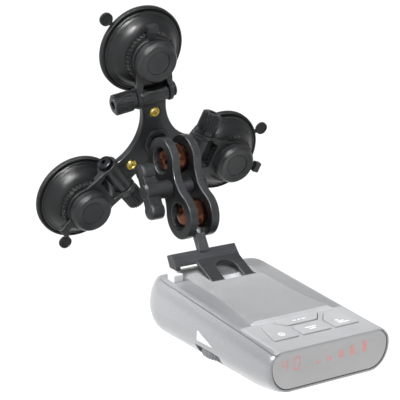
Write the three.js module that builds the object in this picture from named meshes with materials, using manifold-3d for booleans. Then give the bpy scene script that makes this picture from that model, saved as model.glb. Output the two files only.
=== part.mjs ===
// A radar detector hanging on a windscreen mount: three suction cups hinged to a three-armed plate, a
// double ball arm with a clamp knob, and a forked bracket that slides into the detector's top.
// Millimetres, +Z up. The driver is on the -Y side, and the origin is the middle of the three cups on
// the glass. The glass leans, so the cups and their plate are built square and then turned as one.
import * as THREE from 'three';
import { mergeVertices } from 'three/addons/utils/BufferGeometryUtils.js';
import Module from 'manifold-3d';

const wasm = await Module();
wasm.setup();

// ---- driving dimensions ----
const GAP = 0.3;            // running gap between two pieces
const GLASS_LEAN = 14.62;   // degrees the glass leans back
const GLASS_ROLL = -11.01;  // degrees the plate is rolled in its own plane
const GLASS_YAW = -2.17;    // degrees the glass faces off the driver

const CUP_CIRCLE = 50;      // middle of the plate to the middle of each cup
const HINGE_CIRCLE = 28;    // middle of the plate to each hinge pin
const HINGE_HEIGHT = 11;    // pin above the glass
const BARREL_R = 4.85;
const BARREL_LONG = 15.6;
const EAR_THICK = 2;
const PIN_R = 2;

const PLATE_BACK = 8.6;     // plate faces, above the glass
const PLATE_FRONT = 12.6;
const BALL_R = 8.5;
const BALL_HEIGHT = 32.7;   // upper ball above the glass

const ARM_X = -1.2;         // the arm's middle plane
const UPPER_BALL = new THREE.Vector3(ARM_X, -31.6, -8.25);
const LOWER_BALL = new THREE.Vector3(ARM_X, -49.09, -33.77);
const ARM_INNER = 4;        // arm plate faces, out from the middle plane
const ARM_OUTER = 8.75;
const ARM_END_R = 12;
const ARM_WAIST = 7.5;      // half the arm's width at its middle

const BLADE_TOP = 9.6;      // along the blade from the lower ball
const BLADE_END = new THREE.Vector3(ARM_X, -58.88, -50.65);
const FORK_TIP = new THREE.Vector3(5.15, -76.62, -60.74);
const FORK_DIP = 25.6;      // degrees the fork slopes down to its tips
const FORK_ROOT = 15.7;     // tip to the bar, along the fork
const FORK_IN = 5;          // how far the prongs reach into the detector

const DETECTOR_AT = new THREE.Vector3(3.95, -159.28, -88.39);
const CASE_HALF = 34.85;    // half the case's width
const CASE_LONG = 113;
const CASE_BOTTOM = -2.4;
const DECK_FRONT = 21.6;    // deck height at the display
const DECK_SLOPE = 0.0738;  // deck rise per mm to the rear
const REAR_BEND = 97;       // where the rear end starts to round over
const WALL = 2;

// ---- solids from closed geometry ----
function solid(geometry) {
  const g = geometry.clone();
  g.deleteAttribute('normal');
  g.deleteAttribute('uv');
  const m = mergeVertices(g, 1e-4);
  const mesh = new wasm.Mesh({
    numProp: 3,
    vertProperties: m.attributes.position.array,
    triVerts: new Uint32Array(m.index.array),
  });
  return new wasm.Manifold(mesh);
}
const join = (first, ...rest) => rest.reduce((a, b) => a.add(b), first);
const cut = (first, ...rest) => rest.reduce((a, b) => a.subtract(b), first);

function box(x0, x1, y0, y1, z0, z1) {
  const g = new THREE.BoxGeometry(x1 - x0, y1 - y0, z1 - z0);
  return solid(g.translate((x0 + x1) / 2, (y0 + y1) / 2, (z0 + z1) / 2));
}

// A round or many-sided bar between two points.
function rod(r, from, to, sides = 16) {
  const run = new THREE.Vector3().subVectors(to, from);
  const g = new THREE.CylinderGeometry(r, r, run.length(), sides);
  const up = new THREE.Vector3(0, 1, 0);
  g.applyQuaternion(new THREE.Quaternion().setFromUnitVectors(up, run.clone().normalize()));
  return solid(g.translate(...from.clone().addScaledVector(run, 0.5)));
}
const at = (x, y, z) => new THREE.Vector3(x, y, z);
const rodZ = (r, x, y, z0, z1, sides) => rod(r, at(x, y, z0), at(x, y, z1), sides);
const rodY = (r, x, z, y0, y1, sides) => rod(r, at(x, y0, z), at(x, y1, z), sides);
const rodX = (r, y, z, x0, x1, sides) => rod(r, at(x0, y, z), at(x1, y, z), sides);

// A ring of [radius, height] points turned about Z.
function turned(profile, sides = 24) {
  const points = profile.map(([r, h]) => new THREE.Vector2(r, h));
  return solid(new THREE.LatheGeometry(points, sides).rotateX(Math.PI / 2));
}

// An outline in XY raised from z0 to z1.
function raised(points, z0, z1) {
  const shape = new THREE.Shape(points.map(([x, y]) => new THREE.Vector2(x, y)));
  const g = new THREE.ExtrudeGeometry(shape, { depth: z1 - z0, bevelEnabled: false, curveSegments: 1 });
  return solid(g.translate(0, 0, z0));
}

// The same outline idea in the YZ plane, from x0 to x1.
function slabX(points, x0, x1) {
  const turn = new THREE.Matrix4().makeBasis(at(0, 1, 0), at(0, 0, 1), at(1, 0, 0));
  return raised(points, x0, x1).transform(turn.toArray());
}

// A toothed outline: teeth of two points each, r high and r - deep low.
function toothed(r, deep, teeth) {
  const points = [];
  for (let i = 0; i < teeth * 4; i++) {
    const a = ((i + 0.5) / (teeth * 4)) * 2 * Math.PI;
    const radius = i % 4 < 2 ? r : r - deep;
    points.push([radius * Math.cos(a), radius * Math.sin(a)]);
  }
  return points;
}

function sphere(r, centre, across = 18, down = 12) {
  return solid(new THREE.SphereGeometry(r, across, down).translate(...centre));
}

// ---- finishes ----
const looks = {
  rubber: [0x222325, 0.75, 0],
  gloss: [0x2b2c2e, 0.25, 0],
  satin: [0x3b3c3e, 0.45, 0],
  dark: [0x242527, 0.5, 0],
  anodised: [0x4a4b4d, 0.4, 1],
  steel: [0xb9bbbd, 0.3, 1],
  brass: [0xc9b24a, 0.3, 1],
  copper: [0xb5573a, 0.2, 1],
  silver: [0xd2d3d5, 0.3, 0],
  deck: [0xb4b4b4, 0.6, 0],
  key: [0xbcbcbc, 0.5, 0],
  window: [0xa9a9aa, 0.15, 0],
  white: [0xf2f2f2, 0.4, 0],
  lens: [0x8e8e90, 0.15, 0],
  board: [0x2f6b45, 0.6, 0],
  socket: [0x2a2a2a, 0.5, 0],
};

const part = new THREE.Group();
const mount = new THREE.Group();
const rad = THREE.MathUtils.degToRad;
mount.rotation.set(rad(GLASS_LEAN), rad(GLASS_ROLL), rad(GLASS_YAW), 'ZXY');
part.add(mount);

function add(group, name, made, look) {
  const m = made.getMesh();
  const g = new THREE.BufferGeometry();
  g.setAttribute('position', new THREE.BufferAttribute(new Float32Array(m.vertProperties), 3));
  g.setIndex(new THREE.BufferAttribute(new Uint32Array(m.triVerts), 1));
  g.computeVertexNormals();
  const [color, roughness, metalness] = looks[look];
  const mesh = new THREE.Mesh(g, new THREE.MeshStandardMaterial({ color, roughness, metalness }));
  mesh.name = name;
  group.add(mesh);
}

// ---- one suction cup, built with its hinge: X away from the plate, Y along the pin, Z off the glass ----
function cupPieces() {
  const pinX = HINGE_CIRCLE - CUP_CIRCLE;
  const half = BARREL_LONG / 2;
  const earIn = half + GAP;
  const earOut = earIn + EAR_THICK;
  const pieces = {};

  // Rubber disc with a bead round its rim and a seat for the stud, and the pull tab on its neck.
  const disc = turned([
    [0, 0], [23.4, 0], [23.4, 2.9], [22.2, 2.9], [21.8, 1.8], [6.4, 1.8], [6.4, 4.4],
    [4.1, 4.4], [4.1, 1.6], [0, 1.6],
  ]);
  const tabA = rad(40);
  const tab = rodZ(3.5, 28 * Math.cos(tabA), 28 * Math.sin(tabA), 0.3, 2.1, 14);
  const neck = rod(1.2, at(22.6 * Math.cos(tabA), 22.6 * Math.sin(tabA), 1.25),
    at(27 * Math.cos(tabA), 27 * Math.sin(tabA), 1.25), 8);
  pieces.suction_pad = [join(disc, tab, neck), 'rubber'];

  // Thin dome with a step near its rim and a tall neck through the middle.
  pieces.cup_shell = [turned([
    [19.2, 2.2], [21.3, 2.2], [21.3, 3.6], [19.4, 4.5], [14.8, 8.7], [9, 10.4], [6.6, 10.4],
    [6.6, 17], [4.3, 17], [4.3, 8.6], [15, 5.4], [19.2, 2.2],
  ]), 'gloss'];

  pieces.detent_ring = [cut(raised(toothed(13.6, 0.8, 20), 10.7, 13.5),
    rodZ(6.6 + GAP, 0, 0, 10, 14)), 'dark'];

  // Ring round the neck; a nub with a block outward; a leaf and two round ears inward.
  const ears = [-1, 1].map((side) => {
    const y0 = side > 0 ? earIn : -earOut;
    const y1 = y0 + EAR_THICK;
    return join(rodY(5.6, pinX, HINGE_HEIGHT, y0, y1, 20), box(-19.4, -12, y0, y1, 11.4, 15.5));
  });
  const arm = join(rodZ(11.6, 0, 0, 13.8, 15.5, 24), box(8, 18.6, -2.2, 2.2, 13.8, 15.5),
    box(15.6, 19.2, -2.8, 2.8, 13.8, 17.4), box(-16.9, -4, -earOut, earOut, 13.8, 15.5), ...ears);
  const bores = [rodZ(6.6 + GAP, 0, 0, 13, 18),
    rodY(PIN_R + GAP, pinX, HINGE_HEIGHT, -earOut - 1, earOut + 1, 10)];
  pieces.cup_arm = [cut(arm, ...bores), 'satin'];

  pieces.lock_knob = [turned([
    [0, 18.3], [4, 18.3], [4, 17.3], [6.9, 17.3], [6.9, 15.8], [10.6, 15.8], [11, 16.2],
    [11, 20.2], [9.7, 21.7], [6.2, 21.7], [6.2, 20.3], [0, 20.3],
  ]), 'satin'];
  pieces.knob_cap = [rodZ(5.9, 0, 0, 20.6, 21.35, 24), 'satin'];
  pieces.pull_stud = [join(rodZ(3.7, 0, 0, 1.9, 4.2, 12), rodZ(2.6, 0, 0, 3.5, 16.9, 12)), 'steel'];

  const head = rodY(4.2, pinX, HINGE_HEIGHT, -earOut - GAP - 2.3, -earOut - GAP, 16);
  const hex = rodY(1.5, pinX, HINGE_HEIGHT, -earOut - 4, -earOut - GAP - 0.8, 6);
  const shank = rodY(PIN_R, pinX, HINGE_HEIGHT, -earOut - GAP - 1, earOut + 7.6, 10);
  pieces.hinge_bolt = [cut(join(head, shank), hex), 'dark'];

  // Ribbed thumb knob: a plain collar, ribs, and a hex socket in its end.
  const knobY = earOut + GAP;
  const ribs = raised(toothed(5.5, 0.5, 9), 2, 11.6);
  const collar = rodZ(4.9, 0, 0, 0, 2.4);
  const end = rodZ(4.5, 0, 0, 11.4, 12.2);
  const bore = rodZ(PIN_R + GAP, 0, 0, -1, 7.9, 10);
  const socket = rodZ(2.4, 0, 0, 9.2, 13, 6);
  const onPin = new THREE.Matrix4().makeBasis(at(0, 0, 1), at(1, 0, 0), at(0, 1, 0));
  onPin.setPosition(pinX, knobY, HINGE_HEIGHT);
  const knob = cut(join(ribs, collar, end), bore, socket).transform(onPin.toArray());
  pieces.hinge_knob = [knob, 'dark'];
  return pieces;
}

const CUP_ANGLES = { top: 90, left: 210, right: 330 };
const cup = cupPieces();
for (const [where, degrees] of Object.entries(CUP_ANGLES)) {
  const c = Math.cos(rad(degrees));
  const s = Math.sin(rad(degrees));
  const group = new THREE.Group();
  const frame = new THREE.Matrix4().makeBasis(at(c, 0, s), at(-s, 0, c), at(0, -1, 0));
  frame.setPosition(CUP_CIRCLE * c, 0, CUP_CIRCLE * s);
  group.applyMatrix4(frame);
  mount.add(group);
  for (const [piece, [made, look]] of Object.entries(cup)) {
    add(group, `${where}_${piece}`, made, look);
  }
}

// ---- the plate: X and Y in its plane, Z off the glass ----
const plate = new THREE.Group();
plate.applyMatrix4(new THREE.Matrix4().makeBasis(at(1, 0, 0), at(0, 0, 1), at(0, -1, 0)));
mount.add(plate);

const ARM_END = 24.6;       // where each plate arm meets its barrel
const ARM_HALF = 7.4;
const EDGE_IN = 12;         // nearest the hollow edges come to the middle
const INSERT_CIRCLE = 18;

// One hollow edge between two arms: an arc through both arm corners and the point nearest the middle.
function hollowEdge(bisector) {
  const corner = Math.hypot(ARM_END, ARM_HALF);
  const turn = Math.PI / 3 - Math.atan2(ARM_HALF, ARM_END);
  const chord = corner * Math.sin(turn);
  const sag = corner * Math.cos(turn) - EDGE_IN;
  const r = (chord * chord + sag * sag) / (2 * sag);
  const reach = Math.asin(chord / r);
  const points = [];
  for (let i = 0; i <= 8; i++) {
    const a = reach * (1 - i / 4);
    const u = EDGE_IN + r - r * Math.cos(a);
    const v = -r * Math.sin(a);
    points.push([u * Math.cos(bisector) - v * Math.sin(bisector),
      u * Math.sin(bisector) + v * Math.cos(bisector)]);
  }
  return points;
}
const outline = [150, 270, 30].flatMap((b) => hollowEdge(rad(b)));
let plateSolid = raised(outline, PLATE_BACK, PLATE_FRONT);
const drills = [];
const INSERT_R = 2.75;
for (const [where, degrees] of Object.entries(CUP_ANGLES)) {
  const c = Math.cos(rad(degrees));
  const s = Math.sin(rad(degrees));
  const along = at(-s, c, 0);
  const pin = at(HINGE_CIRCLE * c, HINGE_CIRCLE * s, HINGE_HEIGHT);
  const end = (k) => pin.clone().addScaledVector(along, k * BARREL_LONG / 2);
  const arm = raised([[20, -ARM_HALF], [27, -ARM_HALF], [27, ARM_HALF], [20, ARM_HALF]],
    PLATE_BACK, PLATE_FRONT).rotate([0, 0, degrees]);
  plateSolid = join(plateSolid, rod(BARREL_R, end(-1), end(1), 20), arm);
  drills.push(rod(PIN_R + GAP, end(-1.1), end(1.1), 10));
  const x = INSERT_CIRCLE * c;
  const y = INSERT_CIRCLE * s;
  drills.push(rodZ(INSERT_R + GAP, x, y, 8, 14, 12));
  const insert = cut(rodZ(INSERT_R, x, y, PLATE_BACK + 0.1, PLATE_FRONT + 0.3, 12),
    rodZ(1.7, x, y, 8, 14, 12));
  add(plate, `${where}_brass_insert`, insert, 'brass');
}
const boss = rodZ(7.5, 0, 0, 12, 14.4, 20);
add(plate, 'tri_plate', cut(join(plateSolid, boss), ...drills, rodZ(3.3 + GAP, 0, 0, 8, 15, 14)), 'satin');
add(plate, 'upper_stud', join(rodZ(3.3, 0, 0, 8.9, 35, 14), rodZ(6.2, 0, 0, 14.7, 16.9, 6)), 'dark');
add(plate, 'upper_ball', cut(sphere(BALL_R, at(0, 0, BALL_HEIGHT)),
  rodZ(3.3 + GAP, 0, 0, 20, 35.3, 14)), 'copper');

// ---- the double ball arm ----
const middle = UPPER_BALL.clone().lerp(LOWER_BALL, 0.5);
const reach = UPPER_BALL.distanceTo(LOWER_BALL) / 2;

// Two round ends joined by hollow flanks that touch both circles.
function dogbone() {
  const r = (ARM_END_R ** 2 - reach ** 2 - ARM_WAIST ** 2) / (2 * ARM_WAIST - 2 * ARM_END_R);
  const side = ARM_WAIST + r;
  const touch = Math.atan2(side, reach);
  const points = [];
  for (let i = 0; i <= 12; i++) {
    const a = (Math.PI - touch) * (1 - i / 6);
    points.push([reach + ARM_END_R * Math.cos(a), -ARM_END_R * Math.sin(a)]);
  }
  for (let i = 1; i < 6; i++) {
    const a = (Math.PI / 2 - touch) * (1 - i / 3);
    points.push([r * Math.sin(a), side - r * Math.cos(a)]);
  }
  return points.concat(points.map(([u, v]) => [-u, -v]));
}
const lean = new THREE.Vector3().subVectors(UPPER_BALL, LOWER_BALL).normalize();
const flank = dogbone().map(([u, v]) => [
  middle.y + u * lean.y - v * lean.z,
  middle.z + u * lean.z + v * lean.y,
]);
for (const [name, side] of [['left_arm_plate', -1], ['right_arm_plate', 1]]) {
  const x0 = ARM_X + (side > 0 ? ARM_INNER : -ARM_OUTER);
  const x1 = x0 + ARM_OUTER - ARM_INNER;
  const holes = [UPPER_BALL, LOWER_BALL].flatMap((b) => [
    sphere(BALL_R + GAP, b),
    rodX(6.9, b.y, b.z, x0 - 1, x1 + 1, 20),
  ]);
  holes.push(rodX(2.5 + GAP, middle.y, middle.z, x0 - 1, x1 + 1, 10));
  add(part, name, cut(slabX(flank, x0, x1), ...holes), 'anodised');
}
const spacer = rodX(4, middle.y, middle.z, ARM_X - ARM_INNER + GAP, ARM_X + ARM_INNER - GAP);
add(part, 'arm_spacer', cut(spacer, rodX(2.5 + GAP, middle.y, middle.z, -9, 9, 10)), 'anodised');
const boltEnd = ARM_X + ARM_OUTER + GAP;
const clampHead = cut(rodX(4.6, middle.y, middle.z, boltEnd, boltEnd + 2.6),
  rodX(2, middle.y, middle.z, boltEnd + 1, boltEnd + 4, 6));
const KNOB_FACE = -25.4;    // outer face of the clamp knob's wings
add(part, 'clamp_bolt', join(clampHead, rodX(2.5, middle.y, middle.z, KNOB_FACE + 3.4, boltEnd + 0.5, 10)),
  'dark');

// Winged clamp knob: a hub up to the arm plate and two round wings.
const WING_AT = 10.2;
const WING_R = 4.4;
const WING_LEAN = rad(25.8);
const wingY = -Math.sin(WING_LEAN);
const wingZ = -Math.cos(WING_LEAN);
const wings = [-1, 1].map((k) => rodX(WING_R, middle.y + k * WING_AT * wingY,
  middle.z + k * WING_AT * wingZ, KNOB_FACE, KNOB_FACE + 8));
const web = [[-1, -1], [1, -1], [1, 1], [-1, 1]].map(([k, side]) => [
  middle.y + k * WING_AT * wingY - side * 3 * wingZ,
  middle.z + k * WING_AT * wingZ + side * 3 * wingY,
]);
const hub = rodX(4.6, middle.y, middle.z, KNOB_FACE, ARM_X - ARM_OUTER - GAP);
add(part, 'clamp_knob', cut(join(hub, slabX(web, KNOB_FACE, KNOB_FACE + 8), ...wings),
  rodX(2.5 + GAP, middle.y, middle.z, KNOB_FACE + 3, 0, 10)), 'dark');

// ---- lower ball and blade ----
const down = new THREE.Vector3().subVectors(BLADE_END, LOWER_BALL).normalize();
const along = (k) => LOWER_BALL.clone().addScaledVector(down, k);
add(part, 'lower_ball', cut(sphere(BALL_R, LOWER_BALL), rod(2.9, along(-2.8), along(12), 14)), 'copper');
const bladeLong = LOWER_BALL.distanceTo(BLADE_END);
const bladeFrame = new THREE.Matrix4().makeBasis(at(1, 0, 0), down.clone().cross(at(1, 0, 0)), down);
bladeFrame.setPosition(LOWER_BALL);
const strip = box(-3, 3, -1.5, 1.5, BLADE_TOP, bladeLong - 1.4).transform(bladeFrame.toArray());
add(part, 'blade', join(rod(2.6, along(-2.5), along(BLADE_TOP + 1), 14), strip), 'anodised');

// ---- fork bracket: the cross bar is a folded channel, the fork slopes down from its front edge ----
const fork = new THREE.Group();
fork.position.copy(FORK_TIP);
fork.rotation.x = rad(FORK_DIP);
part.add(fork);
// In the fork's own frame X is across, Y back from the tips, Z off the fork's top face.
const FORK_THICK = 2;
const PRONGS = [[-12.65, -4.65], [5.65, 12.65]];
const ARCH_MIDDLE = 0.5;
const ARCH_R = 5.15;
const BAR = [-25.35, 13.15];
const barLocal = new THREE.Matrix4().makeRotationX(-rad(FORK_DIP));
// The channel's section as [back, up] from the fork's tip, level: front lip, ridge, rear lip.
const channel = [[13.2, 5.6], [14.6, 4.7], [18.6, 8.5], [21.6, 7.6], [22.4, 9.2], [18.2, 10.9]];
const toSection = new THREE.Matrix4().makeBasis(at(0, 1, 0), at(0, 0, 1), at(1, 0, 0));
let bracket = raised(channel, BAR[0], BAR[1]).transform(toSection.toArray());
for (const x of [BAR[0], BAR[1] - 2.6]) {
  const foot = [[12.4, 3.6], [19.5, 3.6], [22.4, 9.2], [18.2, 10.9], [13.2, 5.6]];
  bracket = join(bracket, raised(foot, x, x + 2.6).transform(toSection.toArray()));
}
bracket = bracket.transform(barLocal.toArray());
const forkPlate = cut(box(-12.65, 12.65, -FORK_IN, FORK_ROOT + 1.6, -FORK_THICK, 0),
  rodZ(ARCH_R, ARCH_MIDDLE, 7, -4, 1, 20),
  box(ARCH_MIDDLE - ARCH_R, ARCH_MIDDLE + ARCH_R, -8, 7, -4, 1));
add(fork, 'fork_bracket', join(bracket, forkPlate), 'anodised');

// ---- the detector: X across, Y from the display to the rear, Z up from its front lower edge ----
const detector = new THREE.Group();
detector.position.copy(DETECTOR_AT);
part.add(detector);

const deck = (y) => DECK_FRONT + DECK_SLOPE * y;
const clamp = (v) => Math.min(1, Math.max(0, v));
const bend = (y) => 1 - Math.sqrt(1 - clamp((y - REAR_BEND) / (CASE_LONG - REAR_BEND)) ** 2);
const PAD_FROM = 31;        // the raised pad starts behind the buttons
const SHOULDER = 1.2;       // the pad stands this far over the shoulders

// One slice of the case, inset by a wall: rounded flanks, flat shoulders and the raised pad.
function slice(y, inset, pad) {
  const q = bend(y);
  const w = CASE_HALF - 0.85 * clamp((3 - y) / 3) ** 2 - 9 * q - inset;
  const bottom = CASE_BOTTOM + 2.8 * clamp((20 - y) / 20) ** 2 + 4 * q + inset;
  const top = deck(y) - 8 * q - SHOULDER - inset / 2;
  const padTop = pad ? top + SHOULDER : top;
  const padHalf = 17 + 4 * clamp((60 - y) / 29) - 4 * q;
  const lowR = 11 - inset;
  const lowH = (12.5 + 1.5 * clamp(y / 60)) * (1 - 0.3 * q) - inset;
  const highR = 7 - inset * 0.7;
  const highH = top - bottom - lowH - 0.5;
  const half = [];
  for (let i = 0; i <= 4; i++) {
    const a = (i / 4) * Math.PI / 2;
    half.push([w - lowR + lowR * Math.sin(a), bottom + lowH - lowH * Math.cos(a)]);
  }
  for (let i = 0; i <= 4; i++) {
    const a = (i / 4) * Math.PI / 2;
    half.push([w - highR + highR * Math.cos(a), top - highH + highH * Math.sin(a)]);
  }
  half.push([padHalf + 2.5, top], [padHalf, padTop]);
  const mirror = half.map(([x, z]) => [-x, z]).reverse();
  return half.concat(mirror);
}

// Slices joined into one closed body.
function loft(stations, inset, padFrom) {
  const rings = stations.map((y) => slice(y, inset, y >= padFrom));
  const n = rings[0].length;
  const points = [];
  const faces = [];
  rings.forEach((ring, j) => ring.forEach(([x, z]) => points.push(x, stations[j], z)));
  for (let j = 0; j + 1 < rings.length; j++) {
    for (let i = 0; i < n; i++) {
      const a = j * n + i;
      const b = j * n + ((i + 1) % n);
      faces.push(a, a + n, b, b, a + n, b + n);
    }
  }
  const last = rings.length - 1;
  for (const [j, turn] of [[0, 1], [last, -1]]) {
    const centre = points.length / 3;
    points.push(0, stations[j], 10);
    for (let i = 0; i < n; i++) {
      const a = j * n + i;
      const b = j * n + ((i + 1) % n);
      faces.push(...(turn > 0 ? [centre, a, b] : [centre, b, a]));
    }
  }
  const g = new THREE.BufferGeometry();
  g.setAttribute('position', new THREE.Float32BufferAttribute(points, 3));
  g.setIndex(faces);
  return solid(g);
}
const REAR = [REAR_BEND, 102.5, 107, 110, 112, CASE_LONG];
const outer = loft([0, 3, 12, 20, PAD_FROM - 1.5, PAD_FROM, 60, ...REAR], 0, PAD_FROM);
const inner = loft([-2, 3, 12, 20, 60, ...REAR, CASE_LONG + 2], WALL, 999);
const shell = cut(outer, inner);

// The seam runs just under the shoulders, level with the deck's slope.
const SEAM = 2.5;
function aboveSeam(raise) {
  const z = (y) => deck(y) - SEAM + raise;
  return slabX([[-3, z(-3)], [120, z(120)], [120, 60], [-3, 60]], -40, 40);
}
function belowSeam(drop) {
  const z = (y) => deck(y) - SEAM - drop;
  return slabX([[-3, -9], [120, -9], [120, z(120)], [-3, z(-3)]], -40, 40);
}

// Buttons as outlines on the deck: two in the middle, one on each side.
const buttons = {
  upper: [[-13.4, 28.4], [-8.2, 22], [8.2, 22], [13.4, 28.4]],
  middle: [[-8, 10.4], [8, 10.4], [8, 19.6], [-8, 19.6]],
  left: [[-24.4, 10.4], [-10.4, 10.4], [-10.4, 20], [-15.2, 26], [-21, 26]],
  right: [[24.4, 10.4], [21, 26], [15.2, 26], [10.4, 20], [10.4, 10.4]],
};
// The outline drawn out by a margin from its own middle.
function grown(points, by) {
  const cx = points.reduce((s, p) => s + p[0], 0) / points.length;
  const cy = points.reduce((s, p) => s + p[1], 0) / points.length;
  return points.map(([x, y]) => {
    const d = Math.hypot(x - cx, y - cy);
    return [x + ((x - cx) / d) * by, y + ((y - cy) / d) * by];
  });
}
function wound(points) {
  return THREE.ShapeUtils.area(points.map(([x, y]) => new THREE.Vector2(x, y))) > 0
    ? points : [...points].reverse();
}
const keyHoles = Object.values(buttons).map((p) => raised(wound(grown(p, 0.45)), 12, 40));

// The slot the fork slides into: a sloping pocket moulded into the cover.
const pocketFrame = new THREE.Matrix4().makeRotationX(rad(FORK_DIP));
pocketFrame.setPosition(FORK_TIP.clone().sub(DETECTOR_AT));
const inPocket = (made) => made.transform(pocketFrame.toArray());
const pocketWalls = inPocket(box(-14.6, 14.6, -7.3, 10, -6.3, 2.2)).intersect(
  loft([-2, 3, 20, 60, ...REAR], 1, 0));
const pocket = inPocket(box(-13.1, 13.1, -5.8, 24, -4.8, 0.6));

const RELEASE = [-28, -22.4, 91.5, 98];
const [rx0, rx1, ry0, ry1] = RELEASE;
const SCREW_AT = [20.6, 78];
const posts = [-1, 1].map((k) => cut(rodZ(3.4, k * SCREW_AT[0], SCREW_AT[1], 5.4, 25.5, 12),
  rodZ(1.8, k * SCREW_AT[0], SCREW_AT[1], 5, 15, 10)));
const cover = join(shell.intersect(aboveSeam(GAP / 2)), ...posts, pocketWalls);
add(detector, 'top_cover', cut(cover, pocket, ...keyHoles,
  box(rx0 - GAP, rx1 + GAP, ry0 - GAP, ry1 + GAP, 20, 40)), 'deck');

// Lower case: screw bosses, posts for the switch board, the wheel slot and the socket's hole.
const WHEEL_AT = [-21.6, 52.5];
const JACK_Y = [55, 67];
let lower = shell.intersect(belowSeam(GAP / 2));
for (const k of [-1, 1]) {
  const [x, y] = [k * SCREW_AT[0], SCREW_AT[1]];
  lower = cut(join(lower, rodZ(4.2, x, y, -1.5, 5, 14)), rodZ(1.9, x, y, -4, 6, 10),
    rodZ(3, x, y, -4, 0.6, 12));
  lower = join(lower, rodZ(2.5, k * 23, 19, -1, 13.1, 10));
}
lower = cut(lower, box(-40, -27, WHEEL_AT[1] - 10.5, WHEEL_AT[1] + 10.5, 1.1, 5.3),
  box(30, 40, JACK_Y[0] + 1, JACK_Y[1] - 1, 10.4, 17));
add(detector, 'lower_case', lower, 'silver');

for (const k of [-1, 1]) {
  const [x, y] = [k * SCREW_AT[0], SCREW_AT[1]];
  const name = k < 0 ? 'left_case_screw' : 'right_case_screw';
  add(detector, name, join(rodZ(2.6, x, y, -1.8, 0.2, 12), rodZ(1.5, x, y, -0.5, 13, 10)), 'steel');
}

// Keys: a cap through the cover and a wider flange under it, so none can fall out.
for (const [name, points] of Object.entries(buttons)) {
  const tilt = (made, from, to) => made.intersect(slabX(
    [[0, deck(0) + from], [40, deck(40) + from], [40, deck(40) + to], [0, deck(0) + to]], -40, 40));
  const cap = tilt(raised(wound(points), 10, 30), -5, -0.7);
  const flange = tilt(raised(wound(grown(points, 1.1)), 10, 30), -5, -SHOULDER - WALL / 2 - GAP);
  const stem = raised(wound(grown(points, -3)), 16.9, 19);
  add(detector, `${name}_button`, join(cap, flange, stem), 'key');
}
const release = join(box(rx0, rx1, ry0, ry1, 21.4, 30.6),
  box(rx0 - 0.4, rx1 + 1, ry0 - 1, ry1 + 1, 20, 22.2));
add(detector, 'release_button', release, 'white');

// Window in the front opening and lens in the rear one.
function pane(y0, y1, narrow, inset) {
  const points = slice(narrow, inset, false).map(([x, z]) => [x, -z]);
  const stand = new THREE.Matrix4().makeBasis(at(1, 0, 0), at(0, 0, -1), at(0, 1, 0));
  return raised(wound(points), y0, y1).transform(stand.toArray());
}
add(detector, 'display_window', pane(0.5, 2.1, 0, WALL + 0.5), 'window');
add(detector, 'rear_lens', pane(111.4, 112.9, CASE_LONG, WALL + 0.5), 'lens');

// Insides: boards, switches, radar horn, speaker, socket and the volume wheel under the main board.
const glyphs = [-25, -19, -7, -0.8, 5.6, 12, 19].map((x) => box(x - 1.5, x + 1.5, 3.2, 4.2, 8.5, 13.5));
add(detector, 'display_board', join(box(-25, 25, 4, 5.6, 3.4, 16.6), ...glyphs), 'board');
const domes = Object.values(buttons).map((p) => {
  const x = p.reduce((s, q) => s + q[0], 0) / p.length;
  const y = p.reduce((s, q) => s + q[1], 0) / p.length;
  return rodZ(2.4, x, y, 14, 15.8, 10);
});
add(detector, 'switch_board', join(box(-26, 26, 9, 29.5, 13.4, 14.6), ...domes), 'board');
const chips = [box(-28, -18, 33, 44, 8, 9.8), box(-27, -20, 84, 96, 8, 11)];
add(detector, 'main_board', cut(join(box(-29, 29, 31, 104, 7, 8.6), ...chips),
  ...[-1, 1].map((k) => rodZ(3.9, k * SCREW_AT[0], SCREW_AT[1], 6, 10, 12))), 'board');
add(detector, 'horn_antenna', cut(box(-15.6, 15.6, 66, 107, 9, 17.6), box(-13, 13, 90, 108, 10.5, 16)),
  'steel');
add(detector, 'speaker', turned([[0, 9.4], [13, 9.4], [14, 10.4], [14, 15], [12.5, 15], [9, 13],
  [4, 12], [0, 12]]).translate([2, 50, 0]), 'socket');
add(detector, 'power_socket', cut(box(21, 31.4, JACK_Y[0], JACK_Y[1], 9, 18.2),
  box(24, 33, JACK_Y[0] + 1.2, JACK_Y[1] - 1.2, 10.5, 16.8)), 'socket');
const wheel = join(raised(toothed(12.6, 0.6, 20), 1.6, 4.8), rodZ(3, 0, 0, 4.5, 6.7, 12));
add(detector, 'volume_wheel', wheel.translate([...WHEEL_AT, 0]), 'dark');

export default part;
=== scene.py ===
# %% [markdown]
# # A radar detector on a three-cup windscreen mount
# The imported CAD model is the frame. Every round or curved piece is made again here with fine, softened
# edges in the same place, and rides on the same body. Shapes are drawn in millimetres, and turned to
# metres when a mesh is made.
#
# The camera comes first, because it decides how fine each piece has to be. It stands off the front left
# corner, a little above the object. A long lens from far away keeps the far cups nearly as large as the
# near ones.

# %% Load the frame and set the camera
import math

import bmesh
import bpy
from mathutils import Matrix, Vector
from mathutils.geometry import tessellate_polygon


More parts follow.
